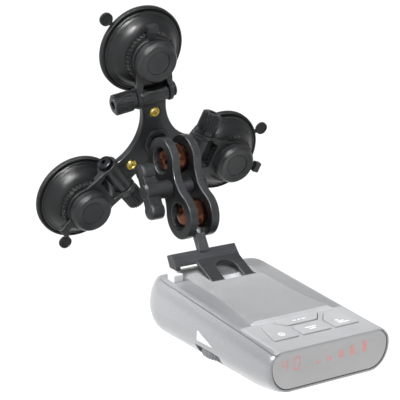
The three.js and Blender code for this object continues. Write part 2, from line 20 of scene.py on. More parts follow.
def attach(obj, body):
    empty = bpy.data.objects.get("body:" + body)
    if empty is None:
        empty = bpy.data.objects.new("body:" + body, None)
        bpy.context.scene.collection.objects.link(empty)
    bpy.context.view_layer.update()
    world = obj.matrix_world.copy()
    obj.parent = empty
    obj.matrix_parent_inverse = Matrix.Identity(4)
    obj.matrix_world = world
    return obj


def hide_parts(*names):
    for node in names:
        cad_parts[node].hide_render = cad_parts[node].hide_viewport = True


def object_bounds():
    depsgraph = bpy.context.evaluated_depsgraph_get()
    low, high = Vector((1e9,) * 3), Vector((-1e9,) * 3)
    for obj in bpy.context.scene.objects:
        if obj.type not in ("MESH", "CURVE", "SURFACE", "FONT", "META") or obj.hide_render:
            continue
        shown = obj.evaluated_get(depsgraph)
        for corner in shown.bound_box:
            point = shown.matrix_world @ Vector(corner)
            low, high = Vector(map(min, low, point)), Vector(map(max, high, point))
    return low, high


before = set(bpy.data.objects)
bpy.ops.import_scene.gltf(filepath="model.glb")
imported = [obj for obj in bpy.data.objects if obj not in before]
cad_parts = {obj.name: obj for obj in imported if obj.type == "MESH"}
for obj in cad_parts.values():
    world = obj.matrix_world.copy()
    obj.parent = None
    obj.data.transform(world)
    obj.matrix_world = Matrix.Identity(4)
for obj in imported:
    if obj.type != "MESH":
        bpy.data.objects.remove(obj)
cad_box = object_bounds()
scene = bpy.context.scene
MM = 0.001

VIEW_AZIMUTH = math.radians(-32.48)
VIEW_HEIGHT = math.radians(15.26)
VIEW_DISTANCE = 0.717
LENS = 127.56
VIEW_MIDDLE = Vector((0, -0.060, -0.040))
SHIFT_RIGHT, SHIFT_UP = -0.00325, 0.0154

cos_a, sin_a = math.cos(VIEW_AZIMUTH), math.sin(VIEW_AZIMUTH)
cos_h, sin_h = math.cos(VIEW_HEIGHT), math.sin(VIEW_HEIGHT)
to_viewer = Vector((sin_a * cos_h, -cos_a * cos_h, sin_h))
to_right = Vector((cos_a, sin_a, 0))
to_top = Vector((-sin_a * sin_h, cos_a * sin_h, cos_h))
look_at = VIEW_MIDDLE + to_right * SHIFT_RIGHT + to_top * SHIFT_UP
camera = bpy.data.objects.new("camera", bpy.data.cameras.new("camera"))
scene.collection.objects.link(camera)
camera.matrix_world = Matrix.Translation(look_at + to_viewer * VIEW_DISTANCE) @ Matrix(
    (to_right, to_top, to_viewer)).transposed().to_4x4()
camera.data.lens = LENS
scene.camera = camera

# %% [markdown]
# ## Outlines
# Most pieces are turned on a lathe or cut from plate, so an outline is the start of each. No moulded or
# cut corner is truly sharp, so one function turns every sharp corner of an outline into a short curve.

# %% Arcs and softened corners

GENTLE_BEND = math.radians(20)
MOST_OF_A_SIDE = 0.45


def arc(radius, steps=64, centre=(0, 0), start=0.0, sweep=2 * math.pi):
    """Points round a circle, or along part of it."""
    whole = sweep >= 2 * math.pi
    return [(centre[0] + radius * math.cos(start + sweep * i / steps),
             centre[1] + radius * math.sin(start + sweep * i / steps))
            for i in range(steps if whole else steps + 1)]


def soften(points, radius, closed=True, steps=4):
    """Each sharp corner becomes a short curve; gentle bends are left alone."""
    out = []
    last = len(points) - 1
    for i, point in enumerate(points):
        here = Vector(point)
        before = Vector(points[i - 1]) - here
        after = Vector(points[(i + 1) % len(points)]) - here
        at_end = not closed and i in (0, last)
        bend = 0 if at_end else math.pi - before.angle(after, math.pi)
        if bend < GENTLE_BEND or radius <= 0:
            out.append(tuple(here))
            continue
        cut = min(radius * math.tan(bend / 2), before.length * MOST_OF_A_SIDE,
                  after.length * MOST_OF_A_SIDE)
        start = here + before.normalized() * cut
        end = here + after.normalized() * cut
        for k in range(steps + 1):
            t = k / steps
            out.append(tuple(start * (1 - t) ** 2 + here * 2 * t * (1 - t) + end * t * t))
    return out


print("a softened square has", len(soften([(0, 0), (1, 0), (1, 1), (0, 1)], 0.2)), "points")

# %% [markdown]
# ## Ribs and offsets
# Knobs and wheels have ribs for the fingers. Ribs are drawn in the outline, so that they are real
# geometry. An outline can also be moved outwards or inwards by an even distance: inwards for rolled
# edges, outwards for the gap round a key.

# %% Ribs and offset outlines

LONGEST_MITRE = 0.6
RIB_LEAN = 0.06


def toothed(radius, depth, teeth, flank=0.12):
    """A ribbed outline: flat-topped teeth with sloping flanks."""
    points = []
    for i in range(teeth):
        for step, low in ((0, 0), (0.5 - flank, 0), (0.5 + flank / 2, 1),
                          (1 - flank / 2 - RIB_LEAN, 1)):
            a = 2 * math.pi * (i + step) / teeth
            r = radius - depth * low
            points.append((r * math.cos(a), r * math.sin(a)))
    return points


def signed_area(loop):
    """More than zero for an outline that runs anticlockwise."""
    return sum(a[0] * b[1] - b[0] * a[1] for a, b in zip(loop, loop[1:] + loop[:1])) / 2


def turned_way(loop, clockwise):
    return loop[::-1] if (signed_area(loop) < 0) != clockwise else loop


def offset(loop, distance):
    """The outline moved outwards by a distance, corner by corner."""
    moved_points = []
    for i, point in enumerate(loop):
        here = Vector(point)
        a = (here - Vector(loop[i - 1])).normalized()
        b = (Vector(loop[(i + 1) % len(loop)]) - here).normalized()
        side = Vector((a.y, -a.x))
        normal = side + Vector((b.y, -b.x))
        normal = normal.normalized() if normal.length > 1e-6 else side
        moved_points.append(tuple(here + normal * distance / max(LONGEST_MITRE, normal.dot(side))))
    return moved_points


print("a ribbed outline of 24 teeth has", len(toothed(5, 0.5, 24)), "points")

# %% [markdown]
# ## Shapes
# Two makers cover nearly everything. One spins a profile round Z, as a lathe does. The other raises an
# outline with its holes between two heights and rolls its edges over, as a cutter and a deburring wheel
# do. Modifiers could do both, but plain lists of points and faces give every edge its own radius, and
# let one piece be made of several shapes.

# %% Lathe and slab


def lathe(profile, corner=0.25, steps=72):
    """A profile of (radius, height) spun round Z. It starts and ends on the axis, or closes on itself."""
    solid = profile[0][0] < 1e-9
    line = soften(profile, corner, closed=not solid, steps=3)
    points, faces, rings = [], [], []
    for r, h in line:
        start = len(points)
        if r < 1e-6:
            rings.append([start] * steps)
            points.append(Vector((0, 0, h)))
        else:
            rings.append(list(range(start, start + steps)))
            points.extend(Vector((x, y, h)) for x, y in arc(r, steps))
    pairs = list(zip(rings, rings[1:])) + ([] if solid else [(rings[-1], rings[0])])
    for low, high in pairs:
        for i in range(steps):
            j = (i + 1) % steps
            face = list(dict.fromkeys((low[i], low[j], high[j], high[i])))
            if len(face) > 2:
                faces.append(face)
    return points, faces


def slab(loops, low, high, edge=0.3, low_edge=None, steps=3):
    """An outline and its holes raised from low to high, with rolled edges."""
    low_edge = edge if low_edge is None else low_edge
    quarter = [math.pi / 2 * k / steps for k in range(steps + 1)]
    levels = [(low + low_edge * (1 - math.cos(a)), low_edge * (1 - math.sin(a))) for a in quarter]
    levels += [(high - edge * (1 - math.sin(a)), edge * (1 - math.cos(a))) for a in quarter]
    points, faces, ends = [], [], []
    for number, loop in enumerate(loops):
        loop = turned_way(loop, clockwise=number > 0)
        count, base = len(loop), len(points)
        for height, inset in levels:
            points.extend(Vector((x, y, height)) for x, y in offset(loop, -inset))
        for row in range(len(levels) - 1):
            for i in range(count):
                a = base + row * count + i
                b = base + row * count + (i + 1) % count
                faces.append([a, b, b + count, a + count])
        ends.append((base, base + (len(levels) - 1) * count, count))
    for which in (0, 1):
        index = [end[which] + i for end in ends for i in range(end[2])]
        rings = [[points[end[which] + i] for i in range(end[2])] for end in ends]
        faces.extend([index[v] for v in tri] for tri in tessellate_polygon(rings))
    return points, faces


print("a washer has", len(lathe([(1, 0), (2, 0), (2, 1), (1, 1)])[1]), "faces")

# %% [markdown]
# ## Rods, blocks and balls
# The two makers give the common bodies: a rod between two points, a block with rounded corners, and a
# ball. A small matrix made of three axes lays any of them in its place.

# %% Common bodies

BELTS = 40
BLOCK_EDGE = 0.4


def moved(shape, matrix):
    """A shape laid in its place by a matrix."""
    return [matrix @ p for p in shape[0]], shape[1]


def axes(x, y, z, origin=(0, 0, 0)):
    """A frame from its three axes and its origin."""
    m = Matrix((x, y, z)).transposed().to_4x4()
    m.translation = Vector(origin)
    return m


def rod(radius, start, end, corner=0.3, steps=40):
    """A round bar between two points, with rolled end edges."""
    run = Vector(end) - Vector(start)
    shape = lathe([(0, 0), (radius, 0), (radius, run.length), (0, run.length)], corner, steps)
    turn = run.to_track_quat("Z", "Y").to_matrix().to_4x4()
    return moved(shape, Matrix.Translation(Vector(start)) @ turn)


def block(x0, x1, y0, y1, z0, z1, edge=0.3):
    """A block between six planes, with its corners and edges rolled."""
    outline = soften([(x0, y0), (x1, y0), (x1, y1), (x0, y1)], edge)
    return slab([outline], z0, z1, min(edge, BLOCK_EDGE))


def ball(radius, centre=(0, 0, 0), steps=64):
    half = [(radius * math.sin(math.pi * i / BELTS), -radius * math.cos(math.pi * i / BELTS))
            for i in range(BELTS + 1)]
    half[0], half[-1] = (0, -radius), (0, radius)
    return moved(lathe(half, 0, steps), Matrix.Translation(Vector(centre)))


ALONG_X = axes((0, 1, 0), (0, 0, 1), (1, 0, 0))
print("a ball has", len(ball(8.5)[0]), "points")

# %% [markdown]
# ## Colours
# Colours are written as the hex values a paint chart gives. Those are bent for a screen, so one function
# turns them to the linear values that light adds up in.

# %% One colour function


def hex_colour(code):
    parts = [int(code[i:i + 2], 16) / 255 for i in (1, 3, 5)]
    linear = [c / 12.92 if c <= 0.04045 else ((c + 0.055) / 1.055) ** 2.4 for c in parts]
    return (*linear, 1.0)


print("mid grey #808080 is", round(hex_colour("#808080")[0], 3), "linear")

# %% [markdown]
# ## Nodes
# A material is a small graph. One function adds a node with its settings and its links, so that each
# finish below reads as a list. Patterns are laid in object coordinates, where one unit is one metre, so
# a size in millimetres gives the scale directly and nothing has to be unwrapped.

# %% Material helpers

PATTERN_LOW, PATTERN_HIGH = 0.3, 0.7


class Finish:
    """A material being built: its node tree, its surface shader and its object coordinates."""

    def __init__(self, name, colour, roughness, metallic=0.0, ior=1.5):
        self.material = bpy.data.materials.new(name)
        self.material.use_nodes = True
        self.material.diffuse_color = hex_colour(colour)
        self.tree = self.material.node_tree
        self.surface = self.tree.nodes["Principled BSDF"]
        self.surface.inputs["Base Color"].default_value = hex_colour(colour)
        self.surface.inputs["Roughness"].default_value = roughness
        self.surface.inputs["Metallic"].default_value = metallic
        if not metallic:
            self.surface.inputs["IOR"].default_value = ior
        self.place = self.node("ShaderNodeTexCoord")

    def node(self, kind, settings=None, values=None, links=None):
        """Adds a node, sets its options and sockets, and links other nodes' outputs into it."""
        made = self.tree.nodes.new(kind)
        for key, value in (settings or {}).items():
            setattr(made, key, value)
        for key, value in (values or {}).items():
            made.inputs[key].default_value = value
        for key, (source, output) in (links or {}).items():
            self.tree.links.new(source.outputs[output], made.inputs[key])
        return made

    def feed(self, socket, source, output):
        self.tree.links.new(source.outputs[output], self.surface.inputs[socket])

    def grain(self, size_mm, detail=3.0, rough=0.55, stretch=(1, 1, 1)):
        """Noise whose blotches are about size_mm across."""
        stretched = self.node("ShaderNodeMapping", values={"Scale": stretch},
                              links={"Vector": (self.place, "Object")})
        return self.node("ShaderNodeTexNoise",
                         values={"Scale": 1 / (size_mm * MM), "Detail": detail, "Roughness": rough},
                         links={"Vector": (stretched, "Vector")})

    def tint(self, source, output, dark, light, low=0.35, high=0.65):
        """Colour running between two shades as a pattern rises from low to high."""
        ramp = self.node("ShaderNodeValToRGB", links={"Fac": (source, output)})
        ramp.color_ramp.elements[0].position = low
        ramp.color_ramp.elements[1].position = high
        ramp.color_ramp.elements[0].color = hex_colour(dark)
        ramp.color_ramp.elements[1].color = hex_colour(light)
        self.feed("Base Color", ramp, "Color")

    def vary_roughness(self, source, output, low, high):
        """Roughness running between two values over the middle of a pattern."""
        spread = self.node("ShaderNodeMapRange",
                           values={"From Min": PATTERN_LOW, "From Max": PATTERN_HIGH,
                                   "To Min": low, "To Max": high},
                           links={"Value": (source, output)})
        self.feed("Roughness", spread, "Result")

    def bump(self, source, output, height_mm, strength=0.5, under=None):
        """A pattern as height, on its own or over another bump."""
        made = self.node("ShaderNodeBump", values={"Strength": strength, "Distance": height_mm * MM},
                         links={"Height": (source, output)})
        if under is not None:
            self.tree.links.new(under.outputs["Normal"], made.inputs["Normal"])
        self.feed("Normal", made, "Normal")
        return made


print("patterns run from", PATTERN_LOW, "to", PATTERN_HIGH)

# %% [markdown]
# ## Plastics and rubber
# The suction discs are moulded rubber: soft, dark, with a faint bloom and no clear reflection. The domes
# are injection-moulded black ABS with a silky gloss, so each carries one broad soft highlight over very
# slight ripples. The knobs and hinge arms are nylon, moulded in a tool with a fine spark-eroded texture,
# which scatters the light into a satin sheen. The grit is drawn at 0.35 to 0.6 mm, coarser than the real
# 0.05 mm, so that it shows at all. Their IOR is a little under the usual 1.5, which keeps the blacks deep
# under a bright sky.

# %% Rubber, ABS and nylon


def moulded_rubber():
    f = Finish("moulded_rubber", "#0E0F10", 0.6, ior=1.36)
    bloom = f.grain(7.0)
    f.tint(bloom, "Fac", "#0B0C0D", "#161718", 0.3, 0.75)
    f.vary_roughness(bloom, "Fac", 0.5, 0.72)
    skin = f.grain(0.4, detail=2)
    f.bump(skin, "Fac", 0.05, 0.35)
    return f.material


def glossy_abs():
    f = Finish("glossy_abs", "#0C0D0E", 0.3, ior=1.38)
    cloud = f.grain(9.0)
    f.tint(cloud, "Fac", "#08090A", "#101112", 0.3, 0.7)
    f.vary_roughness(cloud, "Fac", 0.33, 0.42)
    ripple = f.grain(5.0, detail=1)
    f.bump(ripple, "Fac", 0.08, 0.25)
    return f.material


def textured_nylon(name, dark, light, low_rough, high_rough, grit_mm=0.35, height_mm=0.04):
    """Nylon from a textured tool, with clouds of slightly different gloss."""
    f = Finish(name, dark, high_rough, ior=1.38)
    cloud = f.grain(6.0)
    f.tint(cloud, "Fac", dark, light, 0.3, 0.7)
    f.vary_roughness(cloud, "Fac", low_rough, high_rough)
    grit = f.grain(grit_mm, detail=2)
    f.bump(grit, "Fac", height_mm, 0.45)
    return f.material


RUBBER = moulded_rubber()
DOME = glossy_abs()
KNOB_NYLON = textured_nylon("satin_nylon", "#121314", "#1A1B1C", 0.34, 0.44)
DARK_NYLON = textured_nylon("dark_nylon", "#060606", "#0D0D0E", 0.45, 0.6)
PLATE_NYLON = textured_nylon("glass_filled_nylon", "#0E0F10", "#18191A", 0.3, 0.4, grit_mm=0.6)
THUMB_NYLON = textured_nylon("ribbed_nylon", "#0C0D0E", "#17181A", 0.32, 0.42)
print("plastics:", RUBBER.name, DOME.name, KNOB_NYLON.name)

# %% [markdown]
# ## Metals
# Metal has no grey of its own: its colour is its reflection, so base colours here are the reflection
# tints of each metal, and roughness says how it was worked. The arm plates are black anodised aluminium
# with milled edges, whose cutter marks run through the thickness. The anodised skin is dyed and only
# partly clear, so its metallic value is 0.75 and not 1. The rims' tint is lighter than the faces', for the
# milling and as a painted highlight, and the bar of the bracket carries a lighter, painted-highlight copy
# of the bracket's tint. The balls are copper plated, polished by their sockets; their tint is far darker
# than bright copper, as painted shade for the gap between the arm plates. The inserts are turned brass,
# bright but fine-grooved. The screws are black-oxide steel. Real cutter marks are about 0.1 mm apart;
# they are drawn at 0.4 to 3 mm so that they show.

# %% Anodised, plated and turned metal


def anodised(name, dark, light, low_rough, high_rough, streak=(0.25, 6, 6), height_mm=0.015):
    """Anodised aluminium with fine cutter marks running along the stretched direction."""
    f = Finish(name, dark, high_rough, metallic=0.75)
    marks = f.grain(3.0, detail=4, stretch=streak)
    f.tint(marks, "Fac", dark, light, 0.3, 0.7)
    f.vary_roughness(marks, "Fac", low_rough, high_rough)
    blast = f.grain(0.4, detail=2)
    under = f.bump(blast, "Fac", 0.02, 0.3)
    f.bump(marks, "Fac", height_mm, 0.4, under)
    return f.material


def bare_metal(name, dark, light, low_rough, high_rough, blotch_mm=4.0):
    """Plated or turned metal with faint tarnish and fine scratches."""
    f = Finish(name, dark, high_rough, metallic=1.0)
    tarnish = f.grain(blotch_mm)
    f.tint(tarnish, "Fac", dark, light, 0.3, 0.7)
    f.vary_roughness(tarnish, "Fac", low_rough, high_rough)
    scratch = f.grain(0.8, detail=4, stretch=(1, 8, 1))
    f.bump(scratch, "Fac", 0.01, 0.3)
    return f.material


ARM_FACE = anodised("anodised_face", "#18191A", "#222325", 0.34, 0.46)
# Lighter than the faces: milled, and partly a painted highlight for the light on the edges.
MILLED_RIM_AND_HIGHLIGHT = anodised("anodised_milled_rim_and_highlight", "#2E3032", "#404244", 0.28, 0.4)
BLADE_METAL = anodised("anodised_blade", "#47494B", "#5F6163", 0.34, 0.46, streak=(5, 0.3, 5))
# A lighter copy of the bracket's finish: a painted highlight for the bar's upper faces.
BAR_PAINTED_HIGHLIGHT = anodised("anodised_bar_painted_highlight", "#4A4C4F", "#5A5C5F", 0.34, 0.44)
BRACKET_COAT = anodised("anodised_bracket", "#3E4042", "#4E5052", 0.32, 0.42)
# Copper drawn far darker than it is: painted shade for the balls' place between the arm plates.
SHADED_COPPER = bare_metal("copper_plate_painted_shade", "#44261C", "#6E4637", 0.2, 0.32)
BRASS = bare_metal("turned_brass", "#A88D34", "#D2BC5C", 0.2, 0.34, 2.0)
STEEL = bare_metal("bright_steel", "#A9ABAE", "#C9CBCE", 0.2, 0.34)
BLACK_OXIDE = bare_metal("black_oxide_steel", "#1F2022", "#333437", 0.28, 0.4)
print("metals:", MILLED_RIM_AND_HIGHLIGHT.name, SHADED_COPPER.name, BRASS.name)

# %% [markdown]
# ## The detector's paints
# The case is ABS sprayed silver: fine metal flakes under a clear coat, which catches the light in long
# soft streaks along the rounded sides. The flakes are drawn at 0.45 mm, ten times their real size. The
# deck pad and the keys have a matt rubbery topcoat, which hides the flakes and spreads the light evenly.

# %% Silver paint and matt topcoats


def silver_paint():
    f = Finish("silver_paint", "#949597", 0.3, metallic=0.3)
    flake = f.node("ShaderNodeTexVoronoi", values={"Scale": 1 / (0.45 * MM)},
                   links={"Vector": (f.place, "Object")})
    f.tint(flake, "Distance", "#8F9092", "#9C9DA0", 0.1, 0.9)
    haze = f.grain(14.0)
    f.vary_roughness(haze, "Fac", 0.28, 0.36)
    peel = f.grain(2.2, detail=1)
    f.bump(peel, "Fac", 0.012, 0.2)
    f.surface.inputs["Coat Weight"].default_value = 0.5
    f.surface.inputs["Coat Roughness"].default_value = 0.15
    return f.material


def matt_topcoat(name, dark, light, rough):
    """A sprayed soft-touch coat: even, with very fine grit."""
    f = Finish(name, dark, rough, ior=1.5)
    cloud = f.grain(10.0)
    f.tint(cloud, "Fac", dark, light, 0.3, 0.7)
    f.vary_roughness(cloud, "Fac", rough - 0.06, rough + 0.08)
    grit = f.grain(0.45, detail=2)
    f.bump(grit, "Fac", 0.04, 0.4)
    return f.material


SILVER = silver_paint()
DECK = matt_topcoat("deck_topcoat", "#8A8B8C", "#929394", 0.5)
PANEL = matt_topcoat("key_panel", "#A2A3A5", "#ABACAE", 0.4)
# Much lighter than the deck: a painted highlight along the pad's front lip; the pocket tray takes it too.
RIDGE_PAINTED_HIGHLIGHT = matt_topcoat("deck_ridge_painted_highlight", "#B4B5B7", "#BEBFC1", 0.4)
KEY = matt_topcoat("key_rubber", "#A6A7A9", "#B0B1B3", 0.42)
TAB_WHITE = matt_topcoat("white_nylon", "#C6C7C9", "#D2D3D5", 0.4)
WHEEL_GREY = matt_topcoat("wheel_nylon", "#737477", "#7F8083", 0.5)
# A dark sheet behind the seam: painted shade for the gap between the shells.
SEAM_PAINTED_SHADE = matt_topcoat("seam_painted_shade", "#3A3B3D", "#4A4B4D", 0.6)
REAR_BAND = matt_topcoat("rear_band", "#8C8D90", "#9A9B9E", 0.45)
MARK = matt_topcoat("white_print", "#EFEFF0", "#FAFAFA", 0.45)
print("paints:", SILVER.name, DECK.name, MARK.name)

# %% [markdown]
# ## Acrylic, lit segments and boards
# The windows are smoked acrylic, smooth enough to mirror the room. Acrylic could be made transparent, but
# the tinted panes look opaque from outside, so a smooth grey with a thin clear coat is enough. The lit
# segments glow only faintly. The boards are green glass-fibre laminate, with grit drawn at 0.5 mm.

# %% Acrylic, segments and boards


def smoked_acrylic(name, dark, light):
    """Moulded acrylic: nearly a mirror, with faint smears and a slow wave."""
    f = Finish(name, dark, 0.1, ior=1.49)
    smear = f.grain(16.0)
    f.tint(smear, "Fac", dark, light, 0.3, 0.7)
    f.vary_roughness(smear, "Fac", 0.08, 0.18)
    wave = f.grain(12.0, detail=1)
    f.bump(wave, "Fac", 0.05, 0.12)
    f.surface.inputs["Coat Weight"].default_value = 0.5
    f.surface.inputs["Coat Roughness"].default_value = 0.05
    return f.material


def lit_segment():
    f = Finish("lit_segment", "#C69A98", 0.4, ior=1.49)
    glow = f.grain(1.5)
    f.tint(glow, "Fac", "#BE8D8A", "#CE9E9B", 0.3, 0.7)
    f.surface.inputs["Emission Color"].default_value = hex_colour("#E07068")
    f.surface.inputs["Emission Strength"].default_value = 0.12
    return f.material


SMOKED = smoked_acrylic("smoked_window", "#ACACAD", "#B3B3B4")
REAR_LENS = smoked_acrylic("rear_window", "#7A7B7E", "#88898C")
LIT = lit_segment()
BOARD = textured_nylon("board_laminate", "#2A5F3E", "#35754D", 0.4, 0.55, grit_mm=0.5)
SOCKET = textured_nylon("socket_nylon", "#242426", "#303033", 0.45, 0.6)
print("glossy finishes:", SMOKED.name, REAR_LENS.name, LIT.name)

# %% [markdown]
# ## From shapes to pieces
# A piece is one mesh made of shapes. It is placed in metres, its faces are turned outwards, and it is
# shaded smooth except across real edges. It rides on its CAD body and stands for the CAD solid there.
# Normals weighted by area keep the flat faces flat beside their rolled edges.

# %% Piece helpers

SMOOTH_TO = 35


def mesh_of(name, shapes, place):
    """One clean mesh in metres from shapes in millimetres."""
    points, faces = [], []
    for shape_points, shape_faces in shapes:
        base = len(points)
        points.extend((place @ p) * MM for p in shape_points)
        faces.extend([v + base for v in face] for face in shape_faces)
    mesh = bpy.data.meshes.new(name)
    mesh.from_pydata(points, [], faces)
    work = bmesh.new()
    work.from_mesh(mesh)
    bmesh.ops.remove_doubles(work, verts=work.verts, dist=2e-7)
    bmesh.ops.dissolve_degenerate(work, edges=work.edges, dist=1e-7)
    bmesh.ops.recalc_face_normals(work, faces=work.faces)
    work.to_mesh(mesh)
    work.free()
    return mesh


def shade(obj, smooth):
    """Smooth up to an angle in degrees, and flat faces kept flat."""
    obj.data.shade_smooth()
    obj.data.set_sharp_from_angle(angle=math.radians(smooth))
    flat = obj.modifiers.new("flat_faces", "WEIGHTED_NORMAL")
    flat.keep_sharp = True


def built(name, mesh, body, nodes, finish=None, smooth=SMOOTH_TO):
    """A piece from a finished mesh. Without a finish it keeps those that the mesh has."""
    obj = bpy.data.objects.new(name, mesh)
    scene.collection.objects.link(obj)
    if finish:
        mesh.materials.clear()
        mesh.materials.append(finish)
    shade(obj, smooth)
    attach(obj, body)
    if nodes:
        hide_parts(*nodes)
    return obj


def piece(name, shapes, place, body, nodes, finish):
    """A piece straight from its shapes."""
    return built(name, mesh_of(name, shapes, place), body, nodes, finish)


print("smooth up to", SMOOTH_TO, "degrees")

# %% [markdown]
# ## Welding and cutting
# Many pieces are one moulding with ribs, bores and pockets. Shapes that only overlap would leave inner
# faces, so they are joined and cut as solids. The exact solver is used because many faces here touch or
# lie nearly in one plane, where the fast one tears.

# %% Joining and cutting

WELD_METRES = 1e-6


def cleaned(mesh):
    """Welds points that a cut leaves within a micron of each other."""
    work = bmesh.new()
    work.from_mesh(mesh)
    bmesh.ops.remove_doubles(work, verts=work.verts, dist=WELD_METRES)
    bmesh.ops.dissolve_degenerate(work, edges=work.edges, dist=WELD_METRES)
    work.to_mesh(mesh)
    work.free()
    return mesh


def welded(mesh, shape_sets, place=Matrix.Identity(4)):
    """Each set of shapes is joined to the mesh, cut from it, or keeps what is inside it."""
    obj = bpy.data.objects.new("blank", mesh)
    scene.collection.objects.link(obj)
    for operation, shapes in shape_sets:
        cutter = bpy.data.objects.new("cutter", mesh_of("cutter", shapes, place))
        scene.collection.objects.link(cutter)
        step = obj.modifiers.new("step", "BOOLEAN")
        step.object, step.operation, step.solver = cutter, operation, "EXACT"
        graph = bpy.context.evaluated_depsgraph_get()
        made = bpy.data.meshes.new_from_object(obj.evaluated_get(graph))
        obj.modifiers.remove(step)
        obj.data = cleaned(made)
        bpy.data.objects.remove(cutter)
    made = obj.data
    bpy.data.objects.remove(obj)
    return made


def joined(name, shape_sets, place):
    """The first set of shapes with the others joined to it or cut from it."""
    return welded(mesh_of(name, shape_sets[0][1], place), shape_sets[1:], place)


print("cuts are welded within", WELD_METRES, "m")

# %% [markdown]
# ## Second finishes and solids that stay
# A milled rim with a painted highlight, or a bar with a painted highlight, is the same piece as the face
# beside it, so a test on each face gives it the other, lighter finish. A CAD solid whose shape is already
# right stays: it gets a finish, and a bevel modifier rolls its edges without touching its mesh.

# %% Second finishes and kept solids


def second_finish(obj, finish, chosen):
    """Gives the faces that a test picks another finish."""
    obj.data.materials.append(finish)
    for face in obj.data.polygons:
        if chosen(face):
            face.material_index = 1


EDGE_FROM = math.radians(40)


def carried(node, finish, edge_mm=0.25):
    """A CAD solid that stays: it gets a finish and rolled edges."""
    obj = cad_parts[node]
    obj.data.materials.clear()
    obj.data.materials.append(finish)
    rolled = obj.modifiers.new("rolled_edges", "BEVEL")
    rolled.width = edge_mm * MM
    rolled.segments = 2
    rolled.limit_method = "ANGLE"
    rolled.angle_limit = EDGE_FROM


print("bevels start at", round(math.degrees(EDGE_FROM)), "degrees")

# %% [markdown]
# ## Where the mount stands
# The glass leans back and the plate is rolled a little in its own plane, so everything on the glass is
# drawn square and then turned as one. Each cup has its own frame: X away from the plate, Y along its
# hinge pin, Z off the glass.

# %% Frames of the mount

GLASS_LEAN = 14.62
GLASS_ROLL = -11.01
GLASS_YAW = -2.17
CUP_CIRCLE = 50
HINGE_CIRCLE = 28
HINGE_HEIGHT = 11
CUP_ANGLES = {"top": 90, "left": 210, "right": 330}

MOUNT = (Matrix.Rotation(math.radians(GLASS_YAW), 4, "Z")
         @ Matrix.Rotation(math.radians(GLASS_LEAN), 4, "X")
         @ Matrix.Rotation(math.radians(GLASS_ROLL), 4, "Y"))
PLATE = MOUNT @ axes((1, 0, 0), (0, 0, 1), (0, -1, 0))
AS_DRAWN = Matrix.Identity(4)


def cup_place(degrees):
    """The frame of the cup that stands at this angle round the plate."""
    c, s = math.cos(math.radians(degrees)), math.sin(math.radians(degrees))
    return MOUNT @ axes((c, 0, s), (-s, 0, c), (0, -1, 0), (CUP_CIRCLE * c, 0, CUP_CIRCLE * s))


def hexagon(radius, centre=(0, 0)):
    return arc(radius, 6, centre)


print("the cups stand", CUP_CIRCLE, "mm from the middle")

# %% [markdown]
# ## Suction disc and dome
# The disc is one moulding: a thin sheet with a bead round its rim, a seat in its middle for the stud, and
# a round tab to peel it off the glass. Its underside is dished between two sealing rings. The dome over it
# is a stiff shell with a stepped rim and a tall neck. Both are round, so they are turned from profiles of
# (radius, height), which puts every bead and step where the eye finds it. The tab is a small turned disc
# on a short rod.

# %% Suction disc with its tab, and the dome

DISC = [(0, 0.6), (17.6, 0.35), (18, 0.05), (18.8, 0.05), (19.2, 0.35), (21, 0.3), (21.4, 0), (22.9, 0),
        (23.4, 0.5), (23.4, 2.3), (22.9, 2.9), (22.3, 2.9), (21.8, 1.8), (6.4, 1.8), (6.4, 4.4),
        (4.1, 4.4), (4.1, 1.7), (0, 1.7)]
TAB_AT = 28
TAB_ANGLE = math.radians(40)
TAB_NECK = (22.6, 25.6, 1.25, 1.15)
TAB = [(0, 0.5), (2.7, 0.5), (3, 0.3), (3.5, 0.5), (3.5, 1.9), (3, 2.1), (2.6, 1.7), (0, 1.7)]
DOME_SHELL = [(19.2, 2.2), (21.3, 2.2), (21.3, 3.3), (20.8, 3.8), (20.1, 3.7), (19.7, 4.2), (19.1, 4.7),
              (18.6, 4.9), (18.2, 5.5), (17.2, 6.8), (16.1, 7.8), (14.8, 8.7), (13.2, 9.4), (11.4, 9.95),
              (9, 10.3), (7.6, 10.4), (6.6, 10.9), (6.6, 17), (4.3, 17), (4.3, 8.6), (9.6, 7.2), (15, 5.4)]


def suction_disc():
    c, s = math.cos(TAB_ANGLE), math.sin(TAB_ANGLE)
    tab = moved(lathe(TAB, 0.2, 40), Matrix.Translation((TAB_AT * c, TAB_AT * s, 0)))
    near, far, height, neck_r = TAB_NECK
    neck = rod(neck_r, (near * c, near * s, height), (far * c, far * s, height), 0.1, 16)
    return mesh_of("suction_disc", [lathe(DISC, 0.35, 112), tab, neck], AS_DRAWN)


def dome():
    return mesh_of("dome", [lathe(DOME_SHELL, 0.3, 112)], AS_DRAWN)


print("disc and dome:", len(suction_disc().vertices), len(dome().vertices), "points")

# %% [markdown]
# ## Toothed ring and hinge arm
# Under the knob sits a ring with blunt teeth, which clicks as the knob is turned. The hinge arm is one
# plate round the neck: a nub with a stop block outwards, and a leaf inwards that carries two round ears
# for the hinge pin. It is drawn as one outline, because it is moulded in one piece, and welded to the
# ears and the block so that no inner faces are left.

# %% Toothed ring and hinge arm

NECK_R = 6.9
RING_TEETH = 38
RING_R, TOOTH_DEEP = 13.6, 0.8
RING_LOW, RING_HIGH = 10.7, 13.5
NUB_HALF, NUB_END = 2.2, 18.6
ARM_RING_R = 11.6
ARM_LOW, ARM_HIGH = 13.8, 15.5
LEAF_HALF = 10.1
EAR_IN = 8.1
EAR_R = 5.6
PIN_X = HINGE_CIRCLE - CUP_CIRCLE
PIN_R = 2.3


def toothed_ring():
    outline = soften(toothed(RING_R, TOOTH_DEEP, RING_TEETH), 0.12, steps=2)
    return mesh_of("toothed_ring", [slab([outline, arc(NECK_R)], RING_LOW, RING_HIGH, 0.25)], AS_DRAWN)


